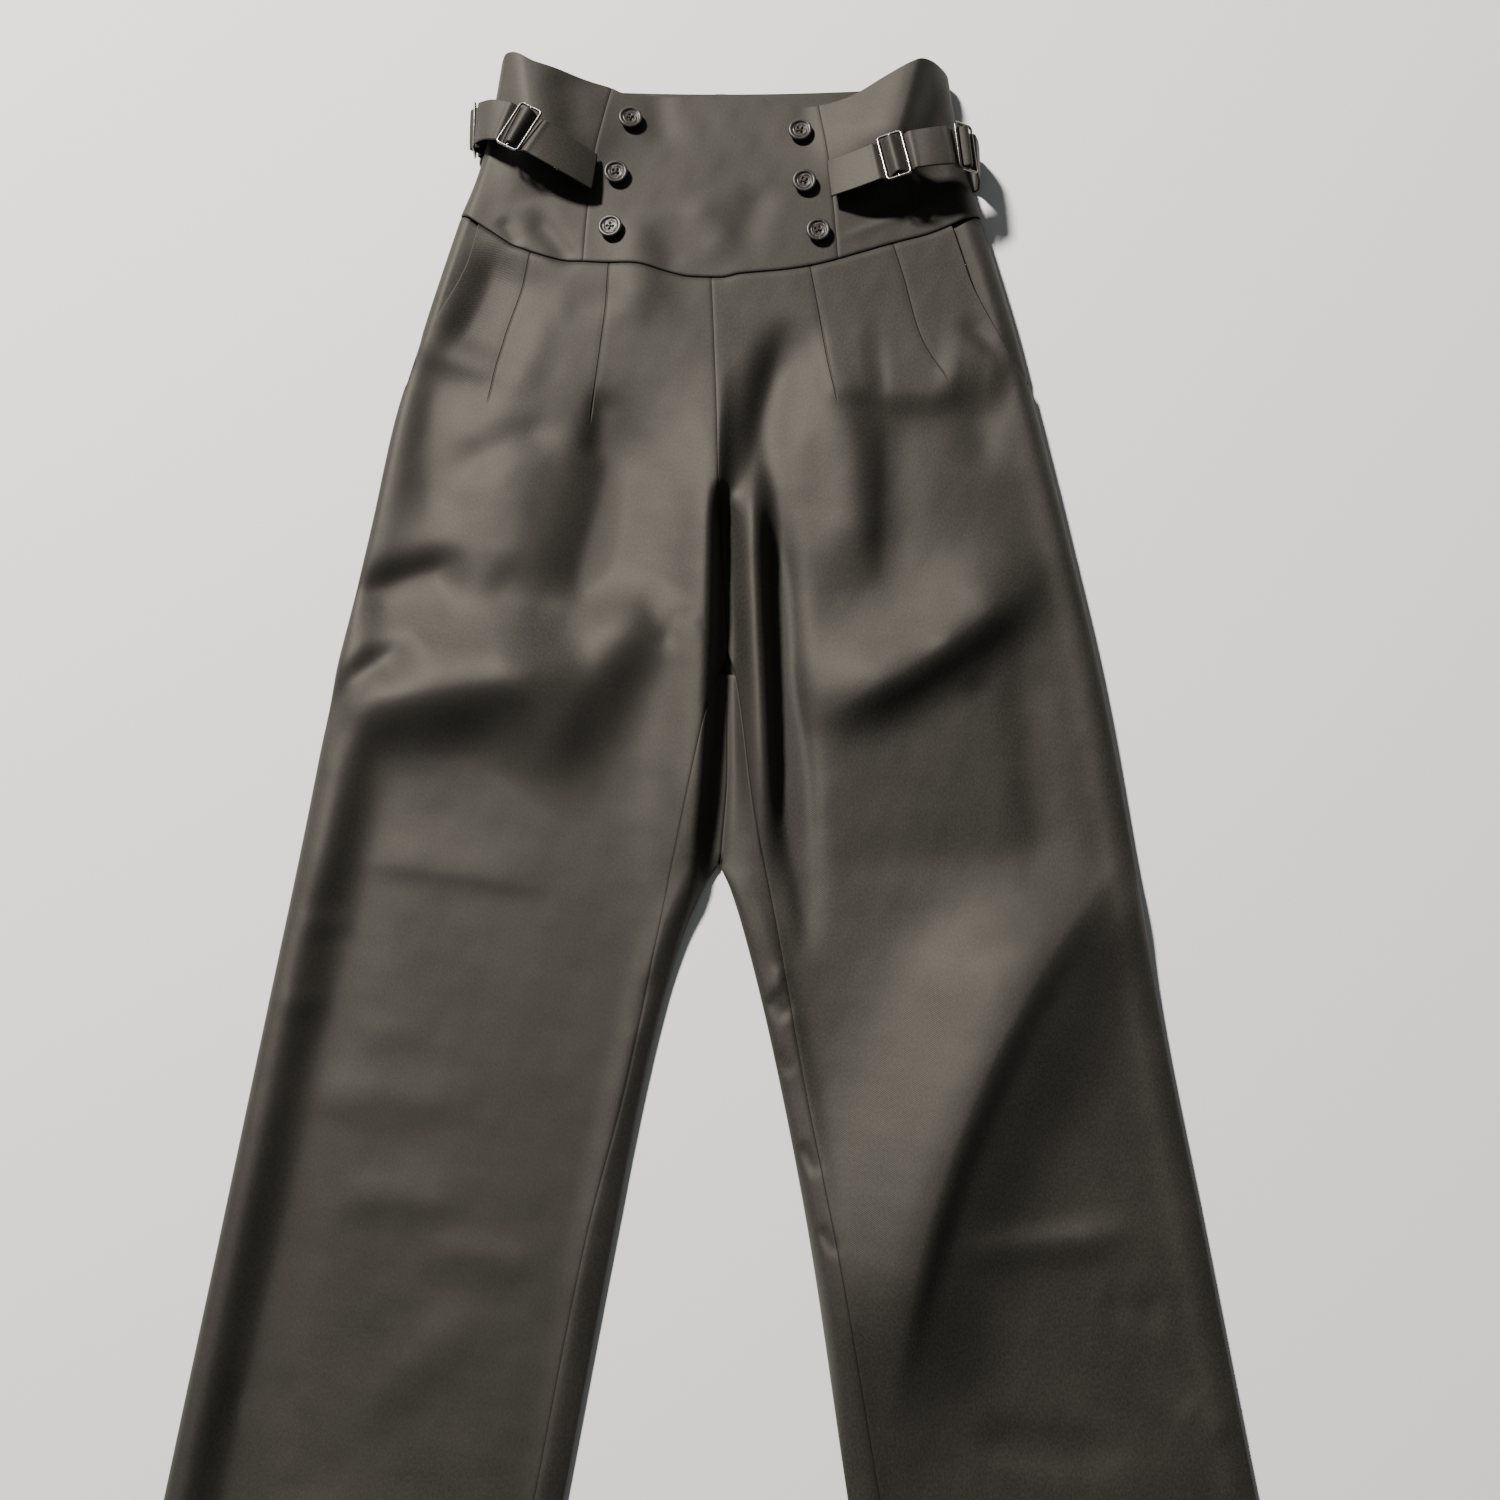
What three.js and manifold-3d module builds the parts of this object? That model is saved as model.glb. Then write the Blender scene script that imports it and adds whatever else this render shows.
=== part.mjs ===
// High-waisted straight trousers, laid out flat on their back with the front up.
//
// The front and the back lie on each other. Every cloth piece is a wall of one thickness: its outer
// face is worked out from the outline tables, the height of the upper layer, and the folds in it.
// Millimetres. +X is the wearer's left, +Y runs from the hems to the waist, and +Z is up from the
// surface that the trousers lie on. The tables count y from the lowest corner of the hems.

import * as THREE from "three";
import { mergeVertices } from "three/addons/utils/BufferGeometryUtils.js";
import Module from "manifold-3d";

const wasm = await Module();
wasm.setup();

// ---------------------------------------------------------------- driving dimensions

const CLOTH = 1.5; // wall of the suiting
const SEAM_GAP = 0.3; // between two pieces at a seam
const SIDE_SEAM_HIGH = 5; // height of the side seam, on the rounded edge
const INNER_FOLD_HIGH = 3; // height of the inner leg's edge where it turns under
const LEAST_HIGH = 3.9; // lowest outer face of the upper layer, just clear of the back
const POCKET_LEAST = 3.2; // and how much more by a pocket, where three layers lie on each other
const WAIST_SEAM_ENDS = { centre: 1031, side: 1084 }; // y of the waist seam in front and at the sides
const WAIST_TOP_SIDE = 1203; // y of the side seam's top end
const BACK_TOP = 1195.5; // y of the back waist's upper edge
const HEM_OUTER = 43; // y of the hem's outer corner; the inner corner is at 0
const CROTCH_Y = 745; // where the inseams and the centre seams meet
const APEX_Y = 595; // where the two legs part
const TONGUE_TOP = 728; // how far up the back's crotch shows between the fronts
const POCKET_DROP = 3.3; // how far the pocket's side piece lies below the front, measured squarely
const DART = { wide: 1.4, deep: 0.8 };
const BUTTON = { across: 18, thick: 3.6, shank: 1.6, shankWide: 5 };
const STRAP = { wide: 30, thick: 1.6 };
const SLIDER = { along: 20, across: 38, wire: 2.4, corner: 3, weave: 3.3 };

// ---------------------------------------------------------------- outline tables

// Side edge of the garment: x of the silhouette on the wearer's right (-) and left (+).
const SIDE_EDGE = [
  { y: 0, right: -383, left: 377 },
  { y: 190, right: -354, left: 347 },
  { y: 360, right: -328, left: 322 },
  { y: 480, right: -310, left: 304 },
  { y: 600, right: -292, left: 290 },
  { y: 720, right: -275, left: 274 },
  { y: 840, right: -254, left: 252 },
  { y: 920, right: -241, left: 236 },
  { y: 1000, right: -221, left: 219 },
  { y: 1092, right: -196, left: 196 },
  { y: 1140, right: -183, left: 185 },
  { y: 1203, right: -171, left: 176 },
];

// The inseams, each a little in from its leg's inner edge, and the centre front seam above them.
const INSEAM = [
  { y: 0, right: -148, left: 137 },
  { y: 190, right: -115, left: 104 },
  { y: 340, right: -87, left: 78 },
  { y: 440, right: -62, left: 59 },
  { y: 540, right: -42, left: 42 },
  { y: 640, right: -22, left: 23 },
  { y: 705, right: -7, left: 15 },
  { y: 730, right: 1, left: 11 },
  { y: 745, right: 6, left: 6 },
];
const CENTRE_SEAM = [
  { y: 745, x: 6 },
  { y: 800, x: 3 },
  { y: 880, x: -1 },
  { y: 940, x: -3 },
  { y: 1036, x: -7 },
];

// Inner edge of each leg below the apex.
const LEG_INNER = [
  { y: 0, right: -131, left: 113 },
  { y: 190, right: -97, left: 84 },
  { y: 340, right: -70, left: 62 },
  { y: 460, right: -47, left: 39 },
  { y: 540, right: -26, left: 20 },
  { y: 580, right: -10, left: 8 },
  { y: 595, right: -1.5, left: 1.5 },
];

// The pocket mouth, from the waist seam to the side seam.
const POCKET = [
  { y: 938, right: -236, left: 233 },
  { y: 960, right: -228, left: 219 },
  { y: 1000, right: -209, left: 198 },
  { y: 1025, right: -196, left: 187 },
  { y: 1045, right: -188, left: 181 },
  { y: 1090, right: -178, left: 168 },
];

// The two seams of the waist's centre front, which the straps are caught in.
const WAIST_PANEL_SEAM = [
  { y: 1030, right: -104, left: 89 },
  { y: 1110, right: -98, left: 83 },
  { y: 1165, right: -88, left: 75 },
  { y: 1200, right: -80, left: 70 },
];

// The waist seam: y by x.
const WAIST_SEAM = [
  { x: -197, y: 1084 },
  { x: -172, y: 1067 },
  { x: -150, y: 1054 },
  { x: -128, y: 1047 },
  { x: -100, y: 1043 },
  { x: -63, y: 1040 },
  { x: -41, y: 1035 },
  { x: -22, y: 1031 },
  { x: 0, y: 1030.5 },
  { x: 15, y: 1033.5 },
  { x: 46, y: 1036.5 },
  { x: 72, y: 1041 },
  { x: 100, y: 1049 },
  { x: 133, y: 1059 },
  { x: 155, y: 1065 },
  { x: 176, y: 1074 },
  { x: 197, y: 1084 },
];

// Upper edge of the waist's front: y by x.
const WAIST_TOP = [
  { x: -172, y: 1203 },
  { x: -164, y: 1208 },
  { x: -140, y: 1197 },
  { x: -120, y: 1193 },
  { x: -100, y: 1188.5 },
  { x: -84, y: 1185 },
  { x: -75, y: 1181.5 },
  { x: -60, y: 1181 },
  { x: -28, y: 1179 },
  { x: 0, y: 1181.5 },
  { x: 22, y: 1179 },
  { x: 45, y: 1174 },
  { x: 70, y: 1170 },
  { x: 95, y: 1173 },
  { x: 125, y: 1184 },
  { x: 150, y: 1195 },
  { x: 176, y: 1203 },
];

// Height of the upper layer's outer face, before folds; the rims along the side and inner edges;
// and how far in the side edge's rounding reaches on each side.
const LAY = [
  { y: 0, high: 5.5, rim: 1, innerRim: 1, roundRight: 7, roundLeft: 7 },
  { y: 190, high: 6.5, rim: 1.5, innerRim: 2, roundRight: 8, roundLeft: 8 },
  { y: 600, high: 9, rim: 1.5, innerRim: 3, roundRight: 8, roundLeft: 8 },
  { y: 700, high: 11.5, rim: 1.5, innerRim: 3, roundRight: 8, roundLeft: 9 },
  { y: 840, high: 15, rim: 1, innerRim: 0, roundRight: 9, roundLeft: 11 },
  { y: 940, high: 18, rim: 1, innerRim: 0, roundRight: 10, roundLeft: 14 },
  { y: 1036, high: 21, rim: 1, innerRim: 0, roundRight: 11, roundLeft: 18 },
  { y: 1120, high: 23, rim: 0, innerRim: 0, roundRight: 10, roundLeft: 18 },
  { y: 1206, high: 22, rim: 0, innerRim: 0, roundRight: 9, roundLeft: 16 },
];

// The valley between the two fronts, from below the fly down to where the legs part.
const VALLEY = [
  { y: 560, x: 0, wide: 13, share: 1 },
  { y: 600, x: 2, wide: 12, share: 1 },
  { y: 660, x: 6, wide: 10, share: 1 },
  { y: 745, x: 6, wide: 9, share: 1 },
  { y: 800, x: 5, wide: 8, share: 1 },
  { y: 840, x: 4, wide: 7, share: 0.9 },
  { y: 868, x: 3, wide: 5, share: 0 },
];

// The largest folds. Each runs from x1, y1 to x2, y2, with its middle moved to the left by bow.
// high is over the cloth round it, below zero for a trough, and left and right are how wide its two
// flanks are, seen along it.
const FOLDS = [
  // wearer's right hip and thigh
  { x1: -300, y1: 706, x2: -88, y2: 736, bow: -8, high: 25, left: 42, right: 30 },
  { x1: -142, y1: 640, x2: -34, y2: 794, bow: 8, high: 16, left: 38, right: 30 },
  { x1: -296, y1: 680, x2: -212, y2: 752, bow: 4, high: -12, left: 13, right: 26 },
  { x1: -274, y1: 777, x2: -176, y2: 812, bow: 3, high: -9, left: 14, right: 28 },
  { x1: -246, y1: 962, x2: -148, y2: 938, bow: 0, high: -4, left: 16, right: 20 },
  { x1: -212, y1: 985, x2: -208, y2: 815, bow: 0, high: -6, left: 26, right: 20 },
  { x1: -162, y1: 1062, x2: -202, y2: 962, bow: 4, high: -8, left: 46, right: 14 },
  { x1: -206, y1: 872, x2: -106, y2: 918, bow: 3, high: -4.5, left: 16, right: 16 },
  { x1: -72, y1: 960, x2: -116, y2: 730, bow: 10, high: -12, left: 30, right: 24 },
  { x1: -154, y1: 935, x2: -150, y2: 770, bow: 0, high: 6, left: 30, right: 34 },
  { x1: 2, y1: 985, x2: -26, y2: 490, bow: 3, high: 15, left: 8, right: 27 },
  // wearer's left hip and thigh
  { x1: 23, y1: 930, x2: 37, y2: 562, bow: 0, high: 17, left: 10, right: 13 },
  { x1: 36, y1: 892, x2: 52, y2: 566, bow: 0, high: -15, left: 14, right: 12 },
  { x1: 56, y1: 1004, x2: 20, y2: 838, bow: -7, high: -11, left: 20, right: 13 },
  { x1: 84, y1: 966, x2: 95, y2: 782, bow: 7, high: 9, left: 21, right: 27 },
  { x1: 124, y1: 930, x2: 118, y2: 780, bow: 0, high: -4, left: 24, right: 10 },
  { x1: 66, y1: 942, x2: 122, y2: 946, bow: 0, high: 4.5, left: 34, right: 15 },
  { x1: 104, y1: 940, x2: 180, y2: 938, bow: 0, high: 4, left: 34, right: 14 },
  { x1: 156, y1: 954, x2: 216, y2: 946, bow: 0, high: 5, left: 30, right: 16 },
  { x1: 70, y1: 921, x2: 212, y2: 917, bow: 0, high: -2, left: 14, right: 22 },
  { x1: 197, y1: 972, x2: 190, y2: 870, bow: 0, high: -3, left: 16, right: 16 },
  { x1: 52, y1: 690, x2: 238, y2: 816, bow: -15, high: 20, left: 36, right: 20 },
  // legs
  { x1: -242, y1: 792, x2: -391, y2: -140, bow: 0, high: 11, left: 20, right: 26 },
  { x1: -223, y1: 792, x2: -370, y2: -140, bow: 0, high: -5, left: 26, right: 18 },
  { x1: -250, y1: 732, x2: -276, y2: 540, bow: 0, high: 5, left: 16, right: 16 },
  { x1: 290, y1: 592, x2: 100, y2: 170, bow: -38, high: 25, left: 42, right: 70 },
  { x1: 118, y1: 500, x2: 330, y2: 576, bow: 0, high: 6, left: 24, right: 28 },
  { x1: -302, y1: 434, x2: -150, y2: 431, bow: 0, high: 1.8, left: 20, right: 16 },
  { x1: -262, y1: 369, x2: -158, y2: 363, bow: 0, high: 2, left: 18, right: 13 },
  { x1: 148, y1: 332, x2: 288, y2: 345, bow: 0, high: 4, left: 10, right: 14 },
  // waist
  { x1: 166, y1: 1262, x2: 118, y2: 1085, bow: 0, high: 25, left: 17, right: 42 },
  { x1: -156, y1: 1262, x2: -134, y2: 1092, bow: 0, high: 19, left: 44, right: 22 },
  { x1: -146, y1: 1088, x2: -104, y2: 1034, bow: 0, high: -2.8, left: 8, right: 10 },
  { x1: -62, y1: 1090, x2: -62, y2: 985, bow: 0, high: 4, left: 20, right: 20 },
];
const FOLD_END = 0.32; // share of a fold's length over which each end fades out

// Darts of the fronts, from the waist seam to the point.
const DARTS = [
  { name: "right", side: -1, points: [[-83, 1047], [-85, 1010], [-89, 970], [-96, 915]] },
  { name: "right", side: -1, points: [[-141, 1056], [-148, 1025], [-160, 985], [-172, 930]] },
  { name: "left", side: 1, points: [[67, 1040], [73, 1005], [80, 960], [86, 928]] },
  { name: "left", side: 1, points: [[130, 1055], [137, 1030], [148, 985], [169, 944]] },
];

const BUTTONS = [
  { name: "button_right_top", x: -69, y: 1158 },
  { name: "button_right_middle", x: -79, y: 1113 },
  { name: "button_right_bottom", x: -82, y: 1068 },
  { name: "button_left_top", x: 60, y: 1148 },
  { name: "button_left_middle", x: 63, y: 1106 },
  { name: "button_left_bottom", x: 73, y: 1066 },
];

// Middle line of each strap, from its seam out over the side, round it and under the back.
const STRAPS = {
  right: [
    { x: -94.7, y: 1110.4, z: 31.4 },
    { x: -99.1, y: 1111.7, z: 34.4 },
    { x: -109, y: 1115.4, z: 40.2 },
    { x: -121.9, y: 1121, z: 45.6 },
    { x: -135.8, y: 1128.2, z: 49.2 },
    { x: -148.7, y: 1135.7, z: 50.2 },
    { x: -161.7, y: 1142.2, z: 47.4 },
    { x: -173.5, y: 1147.5, z: 41.5 },
    { x: -182.5, y: 1151.5, z: 32 },
    { x: -187.2, y: 1154, z: 21 },
    { x: -188.4, y: 1155.5, z: 11.5 },
    { x: -188.2, y: 1156, z: 5 },
    { x: -185.8, y: 1156, z: 1.5 },
    { x: -179, y: 1156, z: 0.9 },
    { x: -167, y: 1156, z: 0.9 },
    { x: -108, y: 1152, z: 0.9 },
  ],
  left: [
    { x: 81.5, y: 1105.2, z: 30.6 },
    { x: 86.3, y: 1105.3, z: 33.8 },
    { x: 97.8, y: 1106, z: 40 },
    { x: 112.3, y: 1108.2, z: 46.4 },
    { x: 128.2, y: 1111.7, z: 51.2 },
    { x: 141.3, y: 1114.6, z: 53.8 },
    { x: 156.7, y: 1116.9, z: 54.6 },
    { x: 171.8, y: 1119.5, z: 51.8 },
    { x: 183.2, y: 1121.8, z: 44.6 },
    { x: 191.4, y: 1123.4, z: 33.5 },
    { x: 195.4, y: 1124.8, z: 21 },
    { x: 196.6, y: 1126, z: 11 },
    { x: 196.8, y: 1126.6, z: 4.6 },
    { x: 194.6, y: 1126.8, z: 1.5 },
    { x: 188, y: 1126.8, z: 1 },
    { x: 176, y: 1126.4, z: 1 },
    { x: 108, y: 1122, z: 1 },
  ],
};

// How each strap lies: y where it goes under the back, how much its end leans with its seam, how far
// along it the middles of its sliders are, and how many degrees they are out of square.
const STRAP_LIES = {
  right: { backY: 1156, lean: 0.1, slidersAt: [64, 124], slidersTurned: [2, 0] },
  left: { backY: 1125, lean: -0.1, slidersAt: [52, 109], slidersTurned: [0, 0] },
};

// ---------------------------------------------------------------- small helpers

const SIDES = [
  { name: "right", sign: -1 },
  { name: "left", sign: 1 },
];
const mix = (a, b, t) => a + (b - a) * t;
const clamp01 = (t) => Math.min(1, Math.max(0, t));
const ease = (t) => clamp01(t) ** 2 * (3 - 2 * clamp01(t));
const steps = (count) => Array.from({ length: count + 1 }, (_, i) => i / count);

// A smooth curve through one column of a table, which never overshoots between its rows.
function column(rows, name, key = "y") {
  const at = rows.map((r) => r[key]);
  const value = rows.map((r) => r[name]);
  const slope = at.slice(1).map((a, i) => (value[i + 1] - value[i]) / (a - at[i]));
  const lean = at.map((_, i) => {
    if (i === 0) return slope[0];
    if (i === at.length - 1) return slope[i - 1];
    const [a, b] = [slope[i - 1], slope[i]];
    return a * b <= 0 ? 0 : (2 * a * b) / (a + b);
  });
  return (x) => {
    const last = at.length - 1;
    if (x <= at[0]) return value[0] + lean[0] * (x - at[0]);
    if (x >= at[last]) return value[last] + lean[last] * (x - at[last]);
    const i = at.findIndex((a) => x < a) - 1;
    const step = at[i + 1] - at[i];
    const t = (x - at[i]) / step;
    const rise = value[i + 1] - value[i];
    const turn = (lean[i] * (1 - t) - lean[i + 1] * t) * step + rise * (2 * t - 1);
    return value[i] + t * rise + t * (1 - t) * turn;
  };
}

const sideEdge = { right: column(SIDE_EDGE, "right"), left: column(SIDE_EDGE, "left") };
const inseam = { right: column(INSEAM, "right"), left: column(INSEAM, "left") };
const centreSeam = column(CENTRE_SEAM, "x");
const legInner = { right: column(LEG_INNER, "right"), left: column(LEG_INNER, "left") };
const pocketLine = { right: column(POCKET, "right"), left: column(POCKET, "left") };
const panelSeam = {
  right: column(WAIST_PANEL_SEAM, "right"),
  left: column(WAIST_PANEL_SEAM, "left"),
};
const roundReach = { right: column(LAY, "roundRight"), left: column(LAY, "roundLeft") };
const waistTop = column(WAIST_TOP, "y", "x");
const layHigh = column(LAY, "high");
const layRim = column(LAY, "rim");
const layInnerRim = column(LAY, "innerRim");
const valleyX = column(VALLEY, "x");
const valleyWide = column(VALLEY, "wide");
const valleyShare = column(VALLEY, "share");

// Where a front ends on its inner side.
const frontInner = (side, y) => (y > CROTCH_Y ? centreSeam(y) : inseam[side.name](y));

// y of the waist seam, level beyond its ends.
const seamCurve = column(WAIST_SEAM, "y", "x");
const waistSeamY = (x) => seamCurve(Math.min(WAIST_SEAM.at(-1).x, Math.max(WAIST_SEAM[0].x, x)));

// ---------------------------------------------------------------- height of the upper layer

function foldHigh(fold, x, y) {
  const [dx, dy] = [fold.x2 - fold.x1, fold.y2 - fold.y1];
  const length = Math.hypot(dx, dy);
  const t = ((x - fold.x1) * dx + (y - fold.y1) * dy) / length ** 2;
  if (t <= 0 || t >= 1) return 0;
  const off = ((y - fold.y1) * dx - (x - fold.x1) * dy) / length - 4 * fold.bow * t * (1 - t);
  const wide = off > 0 ? fold.left : fold.right;
  const ends = ease(t / FOLD_END) * ease((1 - t) / FOLD_END);
  return fold.high * ends * Math.exp(-((off / wide) ** 2));
}

// Outer face of the upper layer over the point x, y: the lay, its rims, the folds and the valley.
function topHigh(x, y) {
  const name = x < valleyX(y) ? "right" : "left";
  const fromSide = Math.abs(sideEdge[name](y) - x);
  const fromInner = y < APEX_Y ? Math.abs(legInner[name](y) - x) : 99;
  let high = layHigh(y);
  high += layRim(y) * Math.exp(-(((fromSide - 14) / 9) ** 2));
  high += layInnerRim(y) * ease((APEX_Y - y) / 60) * Math.exp(-(((fromInner - 14) / 9) ** 2));
  for (const fold of FOLDS) high += foldHigh(fold, x, y);
  if (y > 560 && y < VALLEY.at(-1).y) {
    const share = valleyShare(y) * ease((y - 560) / 35);
    const inside = share * Math.exp(-(Math.abs((x - valleyX(y)) / valleyWide(y)) ** 2.6));
    high = mix(high, LEAST_HIGH + 0.4, inside);
  }
  const least = LEAST_HIGH + POCKET_LEAST * ease((y - 900) / 40) * ease((Math.abs(x) - 140) / 25);
  return high > least + 2 ? high : least + 2 * Math.exp((high - least - 2) / 2);
}

// ---------------------------------------------------------------- cloth walls

// Turns patches of points into one closed wall. Each patch is rows of { at, hold }, where hold lists
// directions that the thickness may not lean along, so that two walls meet squarely at a seam.
function wall(patches, thick = CLOTH) {
  const points = [];
  const holds = [];
  const index = new Map();
  const faces = [];
  const add = ({ at, hold }) => {
    const key = at.map((c) => Math.round(c * 500)).join();
    if (!index.has(key)) {
      index.set(key, points.length);
      points.push(new THREE.Vector3(...at));
      holds.push(hold ?? []);
    }
    return index.get(key);
  };
  for (const rows of patches) {
    const ids = rows.map((row) => row.map(add));
    for (let i = 0; i + 1 < ids.length; i++)
      for (let j = 0; j + 1 < ids[i].length; j++) {
        const [a, b, c, d] = [ids[i][j], ids[i][j + 1], ids[i + 1][j + 1], ids[i + 1][j]];
        for (const face of [[a, b, c], [a, c, d]])
          if (new Set(face).size === 3) faces.push(face);
      }
  }
  const normals = points.map(() => new THREE.Vector3());
  for (const [a, b, c] of faces) {
    const ab = points[b].clone().sub(points[a]);
    const facing = ab.cross(points[c].clone().sub(points[a]));
    for (const i of [a, b, c]) normals[i].add(facing);
  }
  normals.forEach((n, i) => {
    for (const hold of holds[i]) n.addScaledVector(hold, -n.dot(hold));
    n.normalize();
  });
  const count = points.length;
  const inner = points.map((p, i) => p.clone().addScaledVector(normals[i], -thick));
  const triangles = [...faces];
  const edges = new Map();
  for (const [a, b, c] of faces) {
    triangles.push([a + count, c + count, b + count]);
    for (const [i, j] of [[a, b], [b, c], [c, a]]) edges.set(`${i},${j}`, [i, j]);
  }
  for (const [i, j] of edges.values())
    if (!edges.has(`${j},${i}`)) triangles.push([j, i, i + count], [j, i + count, j + count]);
  return indexed([...points, ...inner], triangles);
}

function indexed(points, triangles) {
  const geometry = new THREE.BufferGeometry().setFromPoints(points);
  geometry.setIndex(triangles.flat());
  return geometry;
}

function solid(geometry) {
  const bare = geometry.clone();
  for (const name of ["normal", "uv"]) bare.deleteAttribute(name);
  const merged = mergeVertices(bare, 1e-4);
  return new wasm.Manifold(
    new wasm.Mesh({
      numProp: 3,
      vertProperties: new Float32Array(merged.attributes.position.array),
      triVerts: new Uint32Array(merged.index.array),
    }),
  );
}

function geometryOf(made) {
  const mesh = made.getMesh();
  const geometry = new THREE.BufferGeometry();
  geometry.setAttribute("position", new THREE.BufferAttribute(mesh.vertProperties.slice(), 3));
  geometry.setIndex(new THREE.BufferAttribute(mesh.triVerts.slice(), 1));
  return geometry;
}

const LEVEL_X = new THREE.Vector3(1, 0, 0);
const LEVEL_Y = new THREE.Vector3(0, 1, 0);
const UPRIGHT = new THREE.Vector3(0, 0, 1);

// ---------------------------------------------------------------- rows across the garment

// A row of the trousers below the waist. share is 0 at the waist seam and 1 at the hem.
function legRow(side, share) {
  const outerY = mix(WAIST_SEAM_ENDS.side - SEAM_GAP, HEM_OUTER, share);
  const innerY = mix(WAIST_SEAM_ENDS.centre - SEAM_GAP, 0, share);
  const outerX = sideEdge[side.name](outerY);
  const innerX = frontInner(side, innerY);
  const fade = 1 - ease(share / 0.3);
  const yAt = (x) => {
    const straight = mix(innerY, outerY, (x - innerX) / (outerX - innerX));
    const seamLine = mix(WAIST_SEAM_ENDS.centre, WAIST_SEAM_ENDS.side, (x - innerX) / (outerX - innerX));
    return straight + fade * (waistSeamY(x) - seamLine);
  };
  return { side, outerX, outerY, innerX, innerY, yAt, reach: roundReach[side.name](outerY) };
}

// A point of the upper layer, walk along the cloth from the side seam: up round the edge, then in.
// drop puts it that far inside the layer's outer face.
function upperPoint(row, walk, drop = 0) {
  const bend = Math.min(walk / row.reach, Math.PI / 2);
  const inward = row.reach * (1 - Math.cos(bend)) + Math.max(0, walk - (row.reach * Math.PI) / 2);
  const x = row.outerX - row.side.sign * inward;
  const y = row.yAt(x);
  const at = new THREE.Vector3(x, y, mix(SIDE_SEAM_HIGH, topHigh(x, y), Math.sin(bend)));
  const out = topNormal(x, y).multiplyScalar(Math.sin(bend));
  out.x += row.side.sign * Math.cos(bend);
  return at.addScaledVector(out.normalize(), -drop).toArray();
}

// How far along the cloth from the side seam the point at x lies.
function walkTo(row, x) {
  const inward = Math.abs(row.outerX - x);
  if (inward >= row.reach) return (row.reach * Math.PI) / 2 + inward - row.reach;
  return row.reach * Math.acos(1 - inward / row.reach);
}

// Columns of the front, in parts of the way out from its inner side: close together by the fly.
const FRONT_STEPS = [0, 4, 8, 13, 19, 26, 35, 48, 66, 90, 118, 146, 172, 196, 216, 232, 244];
const FRONT_COLUMNS = FRONT_STEPS.map((step) => step / 244);
const shareAt = (y) => (WAIST_SEAM_ENDS.centre - SEAM_GAP - y) / (WAIST_SEAM_ENDS.centre - SEAM_GAP);
const HIP_SHARE = shareAt(APEX_Y); // share of the length that the closer rows cover
const FRONT_ROWS = [
  ...steps(24).map((t) => t * HIP_SHARE),
  ...steps(14).slice(1).map((t) => mix(HIP_SHARE, 1, t)),
];

function pocketX(side, row) {
  let x = pocketLine[side.name](row.outerY);
  for (let i = 0; i < 8; i++) x = pocketLine[side.name](row.yAt(x));
  return x;
}

const pocketEndsAbove = (row) => row.outerY > 945;

function frontRow(side, share) {
  const row = legRow(side, share);
  const seamX = row.innerX + (side.sign * SEAM_GAP) / 2;
  const inner = walkTo(row, seamX);
  const outer = pocketEndsAbove(row) ? Math.max(0, walkTo(row, pocketX(side, row))) : 0;
  return FRONT_COLUMNS.map((t, j) => {
    const at = upperPoint(row, mix(inner, outer, t));
    const across = j === 0 ? [LEVEL_X] : t === 1 && outer === 0 ? [UPRIGHT] : [];
    return { at, hold: [...across, ...(share === 0 ? [LEVEL_Y] : [])] };
  });
}

const orient = (side, rows) => (side.sign > 0 ? rows.map((row) => [...row].reverse()) : rows);

// A groove along a dart, cut into the front's outer face.
function dartGroove(points) {
  const path = new THREE.CatmullRomCurve3(points.map(([x, y]) => new THREE.Vector3(x, y, 0)));
  const stations = path.getSpacedPoints(9);
  const rows = stations.map((p, i) => {
    const wide = (DART.wide / 2) * (i === stations.length - 1 ? 0.3 : 1);
    const [low, high] = [-DART.deep, 4];
    return [[-wide, low], [wide, low], [wide, high], [-wide, high]].map(
      ([x, z]) => new THREE.Vector3(p.x + x, p.y, topHigh(p.x, p.y) + z),
    );
  });
  const count = rows.length;
  const triangles = [];
  const id = (i, k) => i * 4 + (k % 4);
  for (let i = 0; i + 1 < count; i++)
    for (let k = 0; k < 4; k++)
      triangles.push([id(i, k), id(i + 1, k + 1), id(i, k + 1)], [id(i, k), id(i + 1, k), id(i + 1, k + 1)]);
  triangles.push([0, 1, 2], [0, 2, 3]);
  const end = (count - 1) * 4;
  triangles.push([end, end + 2, end + 1], [end, end + 3, end + 2]);
  const made = solid(indexed(rows.flat(), triangles));
  if (made.volume() > 0) return made;
  return solid(indexed(rows.flat(), triangles.map(([a, b, c]) => [a, c, b])));
}

function frontLeg(side) {
  let cloth = solid(wall([orient(side, FRONT_ROWS.map((share) => frontRow(side, share)))]));
  for (const dart of DARTS)
    if (dart.side === side.sign) cloth = cloth.subtract(dartGroove(dart.points));
  return geometryOf(cloth);
}

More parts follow.
